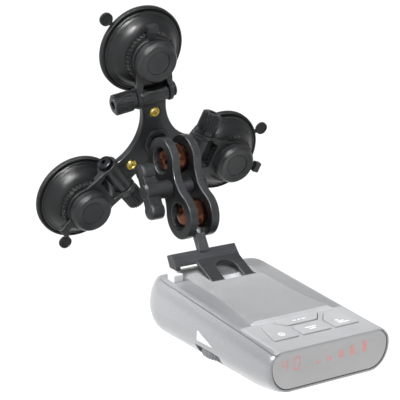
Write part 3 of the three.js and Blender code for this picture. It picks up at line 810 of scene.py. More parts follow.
def hinge_arm():
    nub = math.asin(NUB_HALF / ARM_RING_R)
    leaf = math.pi - math.asin(LEAF_HALF / ARM_RING_R)
    ring = arc(ARM_RING_R, 30, start=nub, sweep=leaf - nub)
    lower = [(x, -y) for x, y in ring[::-1]]
    leaf_end = [(-16.9, LEAF_HALF), (-16.9, 7.4), (-13.2, 6.6)]
    leaf_end += [(x, -y) for x, y in leaf_end[::-1]]
    outline = ring + leaf_end + lower + [(NUB_END, -NUB_HALF), (NUB_END, NUB_HALF)]
    sheet = slab([soften(outline, 0.7), arc(NECK_R)], ARM_LOW, ARM_HIGH, 0.25)
    ear_outline = arc(EAR_R, 40, (PIN_X, HINGE_HEIGHT), math.radians(52), math.radians(288))
    ear_outline += [(-15.8, 11.4), (-12.2, 11.6), (-12, ARM_HIGH - 0.1)]
    lying = Matrix.Rotation(math.pi / 2, 4, "X")
    ears = []
    for side in (-1, 1):
        low = -LEAF_HALF if side < 0 else EAR_IN
        hole = arc(PIN_R, 32, (PIN_X, HINGE_HEIGHT))
        ear = slab([ear_outline, hole], -low - (LEAF_HALF - EAR_IN), -low, 0.35)
        ears.append(("UNION", [moved(ear, lying)]))
    stop = block(15.6, 19.2, -2.8, 2.8, ARM_LOW + 0.02, 17.4, 0.5)
    return joined("hinge_arm", [("", [sheet])] + ears + [("UNION", [stop])], AS_DRAWN)


print("ring teeth:", RING_TEETH, "; hinge arm faces:", len(hinge_arm().polygons))

# %% [markdown]
# ## Lock knob, bolt and thumb knob
# Turning the lock knob draws the stud up and pulls the middle of the disc off the glass, which makes the
# vacuum. It is a plain turned knob with a broad bevel, a dished face and a cap in the middle of it. The
# hinge bolt has a low socket head. The ribbed thumb knob clamps it: a smooth collar, fine ribs, and a hex
# socket in the end. Turned parts come off the lathe maker, and ribs and sockets from toothed and hexagonal
# outlines, because a bump could not break up the edge of the knob.

# %% Knobs, stud and bolt

LOCK_KNOB = [(0, 18.3), (4, 18.3), (4, 17.3), (6.9, 17.3), (6.9, 15.8), (10.5, 15.8), (11, 16.3),
             (11, 20), (9.7, 21.7), (9.1, 21.7), (6.3, 20.9), (6.3, 20.3), (0, 20.3)]
KNOB_CAP = [(0, 20.6), (6, 20.6), (6, 20.85), (5.2, 20.65), (0, 20.8)]
PULL_STUD = [(0, 1.9), (3.7, 1.9), (3.7, 4.2), (2.6, 4.4), (2.6, 16.9), (0, 16.9)]
BOLT_HEAD_R = 4.2
THUMB_RIBS = 24
THUMB_R, THUMB_SOCKET_R = 5.5, 2.4
ON_PIN = axes((0, 0, 1), (1, 0, 0), (0, 1, 0), (PIN_X, 0, HINGE_HEIGHT))
HEAD_FACE = -12.7
THUMB_FROM = 10.4


def hinge_bolt():
    head = lathe([(0, HEAD_FACE), (3.8, HEAD_FACE), (BOLT_HEAD_R, HEAD_FACE + 0.5), (BOLT_HEAD_R, -10.4),
                  (2, -10.4), (2, 17.6), (0, 17.7)], 0.2, 48)
    socket = slab([hexagon(1.5)], HEAD_FACE - 1, -11.2, 0.05)
    return joined("hinge_bolt", [("", [head]), ("DIFFERENCE", [socket])], ON_PIN)


def thumb_knob():
    collar = slab([arc(4.9, 48), arc(PIN_R, 32)], 0, 2.4, 0.25)
    ribbed = soften(toothed(THUMB_R, 0.6, THUMB_RIBS), 0.1, steps=2)
    ribs = slab([ribbed, hexagon(THUMB_SOCKET_R)], 2.2, 11.5, 0.3)
    end = slab([arc(4.5, 48), hexagon(THUMB_SOCKET_R)], 11.3, 12.2, 0.4)
    return mesh_of("thumb_knob", [collar, ribs, end], ON_PIN @ Matrix.Translation((0, 0, THUMB_FROM)))


def lathed(name, profile, corner=0.3, steps=96):
    """A mesh from one turned profile."""
    return mesh_of(name, [lathe(profile, corner, steps)], AS_DRAWN)


print("thumb knob ribs:", THUMB_RIBS)

# %% [markdown]
# ## Three cups
# The three cups are the same, so each mesh is made once, copied and laid in its cup's frame. A row of the
# table below gives the piece's name, mesh, body, CAD node, material slot, finish and smoothing angle.

# %% Place the cups

CUP_PARTS = [
    ("suction_disc", suction_disc(), "cup", "suction_pad", "rubber", RUBBER, 30),
    ("dome", dome(), "cup", "cup_shell", "dome_black", DOME, 30),
    ("toothed_ring", toothed_ring(), "cup", "detent_ring", "matte_black", DARK_NYLON, 30),
    ("hinge_arm", hinge_arm(), "cup", "cup_arm", "satin_black", PLATE_NYLON, 35),
    ("hinge_bolt", hinge_bolt(), "cup", "hinge_bolt", "black_steel", BLACK_OXIDE, 30),
    ("lock_knob", lathed("lock_knob", LOCK_KNOB, 0.15), "lock", "lock_knob", "satin_black", KNOB_NYLON, 30),
    ("knob_cap", lathed("knob_cap", KNOB_CAP, 0.2), "lock", "knob_cap", "satin_black", KNOB_NYLON, 30),
    ("pull_stud", lathed("pull_stud", PULL_STUD, 0.3, 40), "lifter", "pull_stud", "steel", STEEL, 30),
    ("thumb_knob", thumb_knob(), "thumb", "hinge_knob", "matte_black", THUMB_NYLON, 30),
]
for where, degrees in CUP_ANGLES.items():
    place = cup_place(degrees)
    place.translation *= MM
    for name, mesh, body, node, slot, finish, smooth in CUP_PARTS:
        copied = mesh.copy()
        copied.transform(place)
        built(f"{where}_{name}_look", copied, f"{where}_{body}", [f"{where}_{node}"], finish, smooth)
print("placed", len(CUP_ANGLES) * len(CUP_PARTS), "cup pieces")

# %% [markdown]
# ## The three-armed plate
# One moulding of glass-filled nylon: three arms between hollow edges, each ending in a hinge barrel, with
# a boss in the middle for the ball stud. The outline is drawn with arcs, raised with rolled edges, and
# the barrels and boss are welded on so that the surface is one skin, with no seam where they meet.

# %% Plate

PLATE_BACK, PLATE_FRONT = 8.6, 12.6
ARM_END, ARM_HALF = 24.6, 7.4
EDGE_IN = 12
BARREL_R, BARREL_LONG = 4.85, 15.6
INSERT_CIRCLE = 18
STUD_R = 3.3
STUD_BORE = STUD_R + 0.3


def plate_outline():
    """Three hollow arcs between the arm corners, and the arm ends."""
    corner = math.hypot(ARM_END, ARM_HALF)
    turn = math.pi / 3 - math.atan2(ARM_HALF, ARM_END)
    chord, sag = corner * math.sin(turn), corner * math.cos(turn) - EDGE_IN
    r = (chord * chord + sag * sag) / (2 * sag)
    reach = math.asin(chord / r)
    points = []
    for bisector in (150, 270, 30):
        spin = Matrix.Rotation(math.radians(bisector), 2)
        for i in range(33):
            a = reach * (1 - i / 16)
            points.append(tuple(spin @ Vector((EDGE_IN + r - r * math.cos(a), -r * math.sin(a)))))
        spin = Matrix.Rotation(math.radians(bisector + 60), 2)
        points += [tuple(spin @ Vector((27, v))) for v in (-ARM_HALF, ARM_HALF)]
    return points


insert_places = [(INSERT_CIRCLE * math.cos(math.radians(d)), INSERT_CIRCLE * math.sin(math.radians(d)))
                 for d in CUP_ANGLES.values()]
sheet = slab([plate_outline()] + [arc(3.0, 40, p) for p in insert_places], PLATE_BACK, PLATE_FRONT, 0.45)
steps = [("", [sheet])]
bores = []
for degrees in CUP_ANGLES.values():
    c, s = math.cos(math.radians(degrees)), math.sin(math.radians(degrees))
    pin = Vector((HINGE_CIRCLE * c, HINGE_CIRCLE * s, HINGE_HEIGHT))
    half = Vector((-s, c, 0)) * BARREL_LONG / 2
    steps.append(("UNION", [rod(BARREL_R, pin - half, pin + half, 0.5, 64)]))
    bores.append(("DIFFERENCE", [rod(PIN_R, pin - half * 1.1, pin + half * 1.1, 0, 32)]))
steps.append(("UNION", [rod(7.5, (0, 0, 12), (0, 0, 14.4), 0.5, 64)]))
bores.append(("DIFFERENCE", [rod(STUD_BORE, (0, 0, 8), (0, 0, 15), 0, 40)]))
built("plate_look", joined("plate", steps + bores, PLATE), "plate", ["tri_plate"],
      PLATE_NYLON)

print("plate: three barrels", BARREL_LONG, "mm long")

# %% [markdown]
# ## Brass inserts, ball stud and upper ball
# Threaded brass inserts are pressed into the arms and stand a little proud. The ball stud is a black
# screw with a hexagon for a spanner. The copper-plated ball on its end is bored, so that the stud can be
# seen to go into it. Stud and ball are separate pieces, because the ball turns in its own joint.

# %% Inserts, ball stud and upper ball

BALL_R = 8.5
BALL_HEIGHT = 32.7
INSERT = [(1.7, PLATE_BACK + 0.1), (2.75, PLATE_BACK + 0.1), (2.75, PLATE_FRONT + 0.3),
          (1.7, PLATE_FRONT + 0.3)]
for where, (x, y) in zip(CUP_ANGLES, insert_places):
    ring = moved(lathe(INSERT, 0.5, 48), Matrix.Translation((x, y, 0)))
    piece(f"{where}_insert_look", [ring], PLATE, "plate", [f"{where}_brass_insert"], BRASS)

stud = [("", [rod(STUD_R, (0, 0, 8.9), (0, 0, 35), 0.5, 48)]),
        ("UNION", [slab([soften(hexagon(6.2), 0.5)], 14.7, 16.9, 0.35)])]
built("ball_stud_look", joined("ball_stud", stud, PLATE), "plate", ["upper_stud"],
      BLACK_OXIDE)
top_ball = [("", [ball(BALL_R, (0, 0, BALL_HEIGHT))]),
            ("DIFFERENCE", [rod(STUD_BORE, (0, 0, 20), (0, 0, 35.3), 0, 40)])]
built("upper_ball_look", joined("upper_ball", top_ball, PLATE), "upper_ball", ["upper_ball"],
      SHADED_COPPER)
print("upper ball stands", BALL_HEIGHT, "mm off the glass")

# %% [markdown]
# ## The double ball arm
# Two milled plates pinch a ball at each end when the winged knob draws them together. Their outline is
# two round ends joined by hollow flanks. The milled rim and the blasted flat faces have their own
# finishes; the rim's is lighter, partly for the milling and partly as a painted highlight for the light
# that its edges catch. A ball-shaped seat is cut in each end, so that the plates really fit the balls.

# %% Arm plates

ARM_X = -1.2
UPPER_BALL = Vector((ARM_X, -31.6, -8.25))
LOWER_BALL = Vector((ARM_X, -49.09, -33.77))
ARM_INNER, ARM_OUTER = 4, 8.75
ARM_END_R = 12
ARM_WAIST = 7.5
SEAT_HOLE_R = 6.9
SEAT_GAP = 0.15
BOLT_HOLE_R = 2.8
middle = (UPPER_BALL + LOWER_BALL) / 2
reach = (UPPER_BALL - LOWER_BALL).length / 2
lean = (UPPER_BALL - LOWER_BALL).normalized()


def dogbone():
    """Two round ends joined by hollow flanks that touch both circles."""
    r = (ARM_END_R ** 2 - reach ** 2 - ARM_WAIST ** 2) / (2 * ARM_WAIST - 2 * ARM_END_R)
    side = ARM_WAIST + r
    touch = math.atan2(side, reach)
    points = []
    for i in range(41):
        a = (math.pi - touch) * (1 - i / 20)
        points.append((reach + ARM_END_R * math.cos(a), -ARM_END_R * math.sin(a)))
    for i in range(1, 16):
        a = (math.pi / 2 - touch) * (1 - i / 8)
        points.append((r * math.sin(a), side - r * math.cos(a)))
    return points + [(-u, -v) for u, v in points]


def on_flank(u, v):
    return (middle.y + u * lean.y - v * lean.z, middle.z + u * lean.z + v * lean.y)


flank = [on_flank(u, v) for u, v in dogbone()]
for side, name in ((-1, "left"), (1, "right")):
    low = ARM_X + (ARM_INNER if side > 0 else -ARM_OUTER)
    holes = [arc(SEAT_HOLE_R, 64, on_flank(u, 0)) for u in (-reach, reach)]
    holes.append(arc(BOLT_HOLE_R, 32, on_flank(0, 0)))
    flat = moved(slab([flank] + holes, low, low + ARM_OUTER - ARM_INNER, 0.55), ALONG_X)
    seats = [("DIFFERENCE", [ball(BALL_R + SEAT_GAP, b)]) for b in (UPPER_BALL, LOWER_BALL)]
    plate_look = built(f"{name}_arm_plate_look", joined("arm_plate", [("", [flat])] + seats, AS_DRAWN),
                       "arm", [f"{name}_arm_plate"], ARM_FACE, 40)
    # Faces that do not look along X get the lighter rim finish, partly a painted highlight.
    second_finish(plate_look, MILLED_RIM_AND_HIGHLIGHT, lambda face: abs(face.normal.x) < 0.9)
print("arm: balls", round(reach * 2, 1), "mm apart")

# %% [markdown]
# ## Spacer and clamp bolt
# A turned spacer keeps the plates apart at the middle, and a socket-head bolt runs through it from the
# right plate to the clamp knob.

# %% Spacer and clamp bolt

gap = 0.3
spacer = lathe([(BOLT_HOLE_R, -ARM_INNER + gap), (4, -ARM_INNER + gap), (4, ARM_INNER - gap),
                (BOLT_HOLE_R, ARM_INNER - gap)], 0.3, 48)
at_middle = axes((0, 1, 0), (0, 0, 1), (1, 0, 0), middle)
# The spacer takes the rims' lighter finish, which is partly a painted highlight.
piece("arm_spacer_look", [spacer], at_middle, "arm", ["arm_spacer"], MILLED_RIM_AND_HIGHLIGHT)

KNOB_FACE = -25.4 - ARM_X
HEAD_AT = ARM_OUTER + gap
bolt = lathe([(0, KNOB_FACE + 3.4), (2.5, KNOB_FACE + 3.4), (2.5, HEAD_AT), (4.6, HEAD_AT),
              (4.6, HEAD_AT + 2.1), (4.1, HEAD_AT + 2.6), (0, HEAD_AT + 2.6)], 0.2, 48)
bolt_steps = [("", [bolt]), ("DIFFERENCE", [slab([hexagon(2)], HEAD_AT + 1, HEAD_AT + 4, 0.05)])]
built("clamp_bolt_look", joined("clamp_bolt", bolt_steps, at_middle), "arm", ["clamp_bolt"],
      BLACK_OXIDE)
print("clamp bolt", round(HEAD_AT - KNOB_FACE, 1), "mm from head to knob face")

# %% [markdown]
# ## Winged clamp knob
# The knob is one moulding: a round hub, a flat bar across it, and a rounded lobe at each end of the bar
# for the fingers. Each is a plain turned or cut shape, and welding them gives the sharp inner corners
# that the real knob has.

# %% Clamp knob

WING_AT, WING_R, WING_LONG = 10.2, 4.4, 8
WING_LEAN = math.radians(25.8)
wing_way = Vector((-math.sin(WING_LEAN), -math.cos(WING_LEAN)))
across = Vector((-wing_way.y, wing_way.x))
wing_line = [wing_way * k * WING_AT + across * s * 3 for k, s in ((-1, -1), (1, -1), (1, 1), (-1, 1))]
knob_steps = [("", [lathe([(0, KNOB_FACE + 0.2), (3.4, KNOB_FACE), (4.6, KNOB_FACE + 1.2),
                           (4.6, -HEAD_AT), (0, -HEAD_AT)], 0.3, 56)]),
              ("UNION", [slab([[tuple(p) for p in wing_line]], KNOB_FACE + 0.5, KNOB_FACE + WING_LONG,
                              0.5)])]
for k in (-1, 1):
    wing = lathe([(0, KNOB_FACE), (2.6, KNOB_FACE + 0.1), (3.9, KNOB_FACE + 0.6),
                  (WING_R, KNOB_FACE + 1.7), (WING_R, KNOB_FACE + WING_LONG - 0.6),
                  (WING_R - 0.6, KNOB_FACE + WING_LONG), (0, KNOB_FACE + WING_LONG)], 0.4, 56)
    spot = wing_way * k * WING_AT
    knob_steps.append(("UNION", [moved(wing, Matrix.Translation((spot.x, spot.y, 0)))]))
knob_steps.append(("DIFFERENCE", [rod(BOLT_HOLE_R, (0, 0, KNOB_FACE + 3), (0, 0, 0), 0, 32)]))
built("clamp_knob_look", joined("clamp_knob", knob_steps, at_middle), "clamp", ["clamp_knob"],
      KNOB_NYLON)
print("clamp knob", WING_AT * 2 + WING_R * 2, "mm across its wings")

# %% [markdown]
# ## Lower ball and blade
# The lower ball is pressed on a blade: a round tang that turns into a flat strip, forged from one rod, so
# the two shapes are welded.

# %% Lower ball and blade

BLADE_END = Vector((ARM_X, -58.88, -50.65))
TANG_R = 2.6
TANG_BORE = TANG_R + 0.3
down = (BLADE_END - LOWER_BALL).normalized()
blade_long = (BLADE_END - LOWER_BALL).length
AT_BLADE = axes((1, 0, 0), tuple(down.cross(Vector((1, 0, 0)))), tuple(down), LOWER_BALL)
lower = [("", [ball(BALL_R)]), ("DIFFERENCE", [rod(TANG_BORE, (0, 0, -2.8), (0, 0, 12), 0, 40)])]
built("lower_ball_look", joined("lower_ball", lower, AT_BLADE), "lower_ball", ["lower_ball"],
      SHADED_COPPER)
blade_steps = [("", [rod(TANG_R, (0, 0, -2.5), (0, 0, 10.8), 0.4)]),
               ("UNION", [block(-3, 3, -1.5, 1.5, 9.4, blade_long + 0.4, 0.4)])]
built("blade_look", joined("blade", blade_steps, AT_BLADE), "bracket", ["blade"],
      BLADE_METAL)
print("blade", round(blade_long, 1), "mm")

# %% [markdown]
# ## Fork bracket
# The bracket is bent from sheet: a folded channel for the cross bar with a foot at each end, and a flat
# fork that slopes down from it into the detector's slot. The fork is an outline with an arch between its
# prongs, so that the deck shows through. The bar's faces that look up and back get a lighter copy of the
# fork's finish, a painted highlight for the light that they catch.

# %% Fork bracket

FORK_TIP = Vector((5.15, -76.62, -60.74))
FORK_DIP = math.radians(25.6)
FORK_HALF = 12.65
FORK_THICK = 2
FORK_FOOT, FORK_HEAD = -5, 17.3
AT_FORK = Matrix.Translation(FORK_TIP) @ Matrix.Rotation(FORK_DIP, 4, "X")
CHANNEL = [(13.2, 5.6), (14.6, 4.7), (18.6, 8.5), (21.6, 7.6), (22.4, 9.2), (18.2, 10.9)]
FOOT = [(12.4, 3.6), (19.5, 3.6), (22.4, 9.2), (18.2, 10.9), (13.2, 5.6)]
BAR_LEFT, BAR_RIGHT, FOOT_WIDE = -25.35, 13.15, 2.6
ARCH_R, ARCH_X = 6.0, 1.0
arch = arc(ARCH_R, 28, (ARCH_X, 6.6), math.pi, -math.pi)
fork_line = [(-FORK_HALF, FORK_FOOT), (ARCH_X - ARCH_R, FORK_FOOT)] + arch
fork_line += [(ARCH_X + ARCH_R, FORK_FOOT), (FORK_HALF, FORK_FOOT), (FORK_HALF, FORK_HEAD),
              (-FORK_HALF, FORK_HEAD)]
to_level = Matrix.Rotation(-FORK_DIP, 4, "X")
bar = slab([soften(CHANNEL, 0.5)], BAR_LEFT, BAR_RIGHT, 0.3)
bar_steps = [("", [moved(moved(bar, ALONG_X), to_level)])]
for x in (BAR_LEFT, BAR_RIGHT - FOOT_WIDE):
    foot = moved(moved(slab([soften(FOOT, 0.5)], x, x + FOOT_WIDE, 0.3), ALONG_X), to_level)
    bar_steps.append(("UNION", [foot]))
bar_steps.append(("UNION", [slab([soften(fork_line, 0.9)], -FORK_THICK, 0, 0.35)]))
bracket = built("fork_bracket_look", joined("fork_bracket", bar_steps, AT_FORK), "bracket",
                ["fork_bracket"], BRACKET_COAT)
BAR_FROM = (FORK_TIP.y + 13.1) * MM
# Faces of the bar that look up and back get the lighter copy, as a painted highlight.
second_finish(bracket, BAR_PAINTED_HIGHLIGHT, lambda face: face.center.y > BAR_FROM and face.normal.z > 0.3
              and not -0.6 < face.normal.y < 0.3)
highlighted_bar_faces = sum(face.material_index for face in bracket.data.polygons)
print("fork", FORK_HALF * 2, "mm wide; bar faces", highlighted_bar_faces, "of", len(bracket.data.polygons))

# %% [markdown]
# ## The detector's case
# The case is two moulded shells with a thin seam between them. It has no flat side and no round one, so it
# is lofted: one slice of the case is a function of how far back it lies, and the skin runs through forty
# slices. The front is nearly flat round the window, the rear rounds over, and a raised pad begins behind
# the keys.

# %% One slice of the case

DETECTOR_AT = Vector((3.95, -159.28, -88.39))
CASE_HALF, CASE_LONG = 34.85, 113
CASE_BOTTOM = -2.4
DECK_FRONT, DECK_SLOPE = 21.6, 0.0738
REAR_BEND = 97
SHOULDER = 1.2
SEAM = 2.5
PAD_FROM = 29.7
CORNER_STEPS = 10
STATIONS = [0, 0.15, 0.4, 0.8, 1.4, 2.2, 3, 5, 8, 12, 16, 20, 25, PAD_FROM, 30, 30.3, 30.6, 30.9, 31.2, 33,
            38, 44, 50, 60, 70, 80, 90, REAR_BEND, 99, 101, 103, 105, 107, 108.5, 110, 111, 111.8, 112.4,
            112.8, CASE_LONG]

def clamped(v):
    return min(1, max(0, v))


def deck(y):
    """Height of the deck's highest line at one place along the case."""
    return DECK_FRONT + DECK_SLOPE * y


def rear_round(y):
    """From 0 to 1 over the rounded rear, along a quarter circle."""
    return 1 - math.sqrt(1 - clamped((y - REAR_BEND) / (CASE_LONG - REAR_BEND)) ** 2)


def pad_half(y):
    """Half the raised pad's width, which narrows from the keys to the rear."""
    return 17 + 4 * clamped((60 - y) / 29) - 4 * rear_round(y)


def case_slice(y, inset=0.0, pad=1.0):
    """The outline of the case at one place along it, as (across, up)."""
    rear = rear_round(y)
    w = CASE_HALF - 0.85 * clamped((3 - y) / 3) ** 2 - 9 * rear - inset
    bottom = CASE_BOTTOM + 2.8 * clamped((20 - y) / 20) ** 2 + 4 * rear + inset
    top = deck(y) - 8 * rear - SHOULDER - inset / 2
    rise = clamped((y - PAD_FROM) / 1.5)
    pad_top = top + SHOULDER * pad * rise * rise * (3 - 2 * rise)
    half_pad = pad_half(y)
    low_r, low_h = 11 - inset, (12.5 + 1.5 * clamped(y / 60)) * (1 - 0.3 * rear) - inset
    high_r = 7 - inset * 0.7
    high_h = top - bottom - low_h - 0.5
    half = []
    for i in range(CORNER_STEPS + 1):
        a = i / CORNER_STEPS * math.pi / 2
        half.append((w - low_r + low_r * math.sin(a), bottom + low_h - low_h * math.cos(a)))
    for i in range(CORNER_STEPS + 1):
        a = i / CORNER_STEPS * math.pi / 2
        half.append((w - high_r + high_r * math.cos(a), top - high_h + high_h * math.sin(a)))
    half += [(half_pad + 2.5, top), (half_pad, pad_top)]
    return half + [(-x, z) for x, z in half[::-1]]


print("case:", len(STATIONS), "slices of", len(case_slice(50)), "points")

# %% [markdown]
# ## The loft
# The skin joins each slice to the next and closes the two ends. The same function, with an inset, makes
# the hollow inside, so the wall's thickness is even.

# %% Loft

INNER_STATIONS = [-2] + STATIONS[6:] + [CASE_LONG + 2]


def loft(stations, inset_at, pad=1.0):
    """A closed skin through the slices at these places, each inset by its own amount."""
    rings = [case_slice(y, inset_at(y), pad) for y in stations]
    count = len(rings[0])
    points = [Vector((x, y, z)) for y, ring in zip(stations, rings) for x, z in ring]
    faces = [[j * count + i, j * count + (i + 1) % count, (j + 1) * count + (i + 1) % count,
              (j + 1) * count + i] for j in range(len(rings) - 1) for i in range(count)]
    for j in (0, len(rings) - 1):
        ring = [[Vector((x, z, 0)) for x, z in rings[j]]]
        faces.extend([j * count + v for v in tri] for tri in tessellate_polygon(ring))
    return points, faces


def wall(y):
    """The wall's thickness, less behind the window."""
    return 1.25 if y < 4 else 2


print("the plain case has", len(loft(STATIONS, lambda y: 0)[1]), "faces")

# %% [markdown]
# ## Finishes, hollow and seam
# Each face of the plain loft is given its finish before anything is cut, so the borders between finishes
# follow the loft's own edges and stay straight. The case is then hollowed by a smaller loft, and cut in
# two along the seam with blocks that follow the deck's slope.

# %% Painted, hollowed and cut

PAINTS = {"side": SILVER, "deck": DECK, "ridge_highlight": RIDGE_PAINTED_HIGHLIGHT, "rear": REAR_BAND, "panel": PANEL}
REAR_FROM = 110.4
LIP = 2.4
SIDE_REACH = 40
CASE_SMOOTH = 30


def finish_at(centre):
    """Which finish a face of the plain case carries."""
    x, y, z = centre
    if y > REAR_FROM:
        return "rear"
    if z < deck(y) - SHOULDER - 0.6:
        return "side"
    if y < PAD_FROM:
        return "panel"
    if abs(x) < pad_half(y) + LIP:
        # The pad's front lip, just behind the keys, gets the lighter painted highlight.
        return "ridge_highlight" if y < 31.3 else "deck"
    return "side"


def case_mesh(name, steps):
    """The hollow case, painted first, then cut."""
    mesh = mesh_of(name, [loft(STATIONS, lambda y: 0)], AS_DRAWN)
    for finish in PAINTS.values():
        mesh.materials.append(finish)
    for face in mesh.polygons:
        face.material_index = list(PAINTS).index(finish_at(face.center / MM))
    inner = loft(INNER_STATIONS, wall, 0)
    front = loft([-2, 0, 3, 4.5], lambda y: 1.25, 0)
    return welded(mesh, [("DIFFERENCE", [inner]), ("DIFFERENCE", [front])] + steps)


def case_piece(name, mesh, nodes, finish=None):
    """A piece of the case, drawn from the case's own corner."""
    mesh.transform(Matrix.Translation(DETECTOR_AT * MM))
    obj = built(name, mesh, "detector", [], finish, CASE_SMOOTH)
    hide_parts(*nodes)
    return obj


def seam_block(low, high):
    """A block that follows the seam: low and high are heights over the seam, or None for open."""
    ends = (-3, 120)
    bottom = [(y, -9 if low is None else deck(y) - SEAM + low) for y in ends]
    top = [(y, 60 if high is None else deck(y) - SEAM + high) for y in ends[::-1]]
    return moved(slab([bottom + top], -SIDE_REACH, SIDE_REACH, 0), ALONG_X)


print("the case has", len(PAINTS), "finishes")

# %% [markdown]
# ## Cover
# The keys and the release button come up through holes in the cover, each a little wider than what it
# lets through. The fork slides into a sloping pocket. Every hole is cut by the outline of the piece that
# fills it, moved outwards by the gap, so the gap is even all round.

# %% Cover

KEY_LINES = {
    "upper": [(-13.4, 28.4), (-8.2, 22), (8.2, 22), (13.4, 28.4)],
    "middle": [(-8, 10.4), (8, 10.4), (8, 19.6), (-8, 19.6)],
    "left": [(-24.4, 10.4), (-10.4, 10.4), (-10.4, 20), (-15.2, 26), (-21, 26)],
    "right": [(24.4, 10.4), (21, 26), (15.2, 26), (10.4, 20), (10.4, 10.4)],
}
KEY_CORNER = 1.0
RELEASE = (-28, -22.4, 91.5, 98)
GAP = 0.3

key_holes = [slab([offset(turned_way(soften(line, KEY_CORNER), False), GAP)], 12, 40, 0)
             for line in KEY_LINES.values()]
to_pocket = (Matrix.Translation(FORK_TIP - DETECTOR_AT) @ Matrix.Rotation(FORK_DIP, 4, "X"))
pocket_line = soften([(-13.1, -5.8), (13.1, -5.8), (13.1, 24), (-13.1, 24)], 0.8)
pocket = moved(slab([pocket_line], -4.8, 0.6, 0.2), to_pocket)
rx0, rx1, ry0, ry1 = RELEASE
release_hole = block(rx0 - GAP, rx1 + GAP, ry0 - GAP, ry1 + GAP, 20, 40, 0.3)
cover_steps = [("INTERSECT", [seam_block(GAP / 2, None)]),
               ("DIFFERENCE", [pocket, release_hole] + key_holes)]
case_piece("cover_look", case_mesh("cover", cover_steps), ["top_cover"])
print("cover:", len(key_holes), "key holes, a release hole and the fork's pocket")

# %% [markdown]
# ## Lower case
# The volume wheel shows through a slot low on the left side, under a pale three-sided inlay that marks
# it. The power plug goes in on the right, and two screws hold the base. The inlay is let into the paint,
# so its bed is cut first and the inlay made a hair smaller.

# %% Lower case and inlay

WHEEL_AT = Vector((-21.6, 52.5, 0))
SLOT_HALF = 10.5
SCREW_AT = (20.6, 78)
SCREW_BORE = 3
INLAY_LINE = turned_way(soften([(60, 8.2), (59.2, 13.8), (45, 8.6)], 0.5), False)
wheel_slot = block(-SIDE_REACH, -27, WHEEL_AT.y - SLOT_HALF, WHEEL_AT.y + SLOT_HALF, 1.1, 5.3, 0.6)
plug_hole = block(30, SIDE_REACH, 56, 66, 10.4, 17, 0.6)
inlay_cut = moved(slab([INLAY_LINE], -SIDE_REACH, -34.0, 0), ALONG_X)
lower_steps = [("INTERSECT", [seam_block(None, -GAP / 2)]), ("DIFFERENCE", [wheel_slot]),
               ("DIFFERENCE", [plug_hole]), ("DIFFERENCE", [inlay_cut])]
for side in (-1, 1):
    x, y = side * SCREW_AT[0], SCREW_AT[1]
    lower_steps.append(("DIFFERENCE", [rod(SCREW_BORE, (x, y, -4), (x, y, 0.6), 0)]))
case_piece("lower_case_look", case_mesh("lower_case", lower_steps), ["lower_case"])

AT_DETECTOR = Matrix.Translation(DETECTOR_AT)
inlay = moved(slab([offset(INLAY_LINE, -0.15)], -35.2, -34.35, 0.2), ALONG_X)
piece("volume_inlay_look", [inlay], AT_DETECTOR, "detector", [], TAB_WHITE)
print("lower case cut for wheel, plug, inlay and", len(lower_steps) - 4, "screws")

# %% [markdown]
# ## Seam shade and pocket tray
# Two hidden pieces close the gaps. A dark sheet lies just behind the seam, as painted shade in the gap
# between the shells, so that the seam reads as a fine dark line and not as a slit of light. A pale tray
# under the deck gives the pocket its floor, and shows through the fork's arch; it takes the ridge's light
# tone, painted light in the shade under the fork. Both are kept inside the case by meeting them with a
# smaller loft.

# %% Seam shade and tray

# A dark sheet just behind the seam, as painted shade in the gap.
seam_shade = mesh_of("seam_shade", [loft(STATIONS[3:-2], lambda y: 0.55, 0)], AS_DRAWN)
seam_shade = welded(seam_shade, [("INTERSECT", [seam_block(-0.5, 0.5)]),
                         ("DIFFERENCE", [loft(INNER_STATIONS, lambda y: 1.6, 0)])])
case_piece("seam_shade_look", seam_shade, [], SEAM_PAINTED_SHADE)
# The tray takes the ridge's light tone, painted light in the shade under the fork.
tray = mesh_of("tray", [block(-14.6, 14.6, -7.3, 12, -6.3, 4, 0.4)], to_pocket)
tray = welded(tray, [("INTERSECT", [loft(STATIONS[6:-2], lambda y: 0.35)]), ("DIFFERENCE", [pocket])])
case_piece("pocket_tray_look", tray, [], RIDGE_PAINTED_HIGHLIGHT)
print("gasket and tray:", len(seam_shade.polygons), len(tray.polygons), "faces")

# %% [markdown]
# ## Windows
# The display window is a pane of smoked acrylic that nearly fills the front, and a darker one closes the
# rear. Each has the outline of the case's own slice there, inset by the frame's width, so the frame round
# it is even.

# %% Windows

STANDING = axes((1, 0, 0), (0, 0, -1), (0, 1, 0))


def pane(at_y, inset, front, rear, edge):
    """A pane with the case's outline at one place, between two depths."""
    outline = turned_way([(x, -z) for x, z in case_slice(at_y, inset, 0)], False)
    return moved(slab([outline], front, rear, 0, edge), STANDING)


FRONT_FRAME, FRONT_FACE, FRONT_BACK = 1.29, 0.12, 2.1
REAR_FRAME, REAR_BACK, REAR_FACE = 2.3, 111.4, 112.9
front_pane = pane(0, FRONT_FRAME, FRONT_FACE, FRONT_BACK, 0.15)
rear_pane = pane(CASE_LONG, REAR_FRAME, REAR_BACK, REAR_FACE, 0)
piece("display_window_look", [front_pane], AT_DETECTOR, "detector", ["display_window"],
      SMOKED)
piece("rear_window_look", [rear_pane], AT_DETECTOR, "detector", ["rear_lens"], REAR_LENS)
print("front pane", round(FRONT_BACK - FRONT_FACE, 2), "mm thick")

# %% [markdown]
# ## Lit marks
# The display shows two plain seven-segment digits and a row of rising bars, which say how strong a signal
# is. The segments lie right at the window's face. A transparent pane with lamps behind it would be nearer
# to the real thing, but it would hide them in the exported model.

# %% Digits and bars

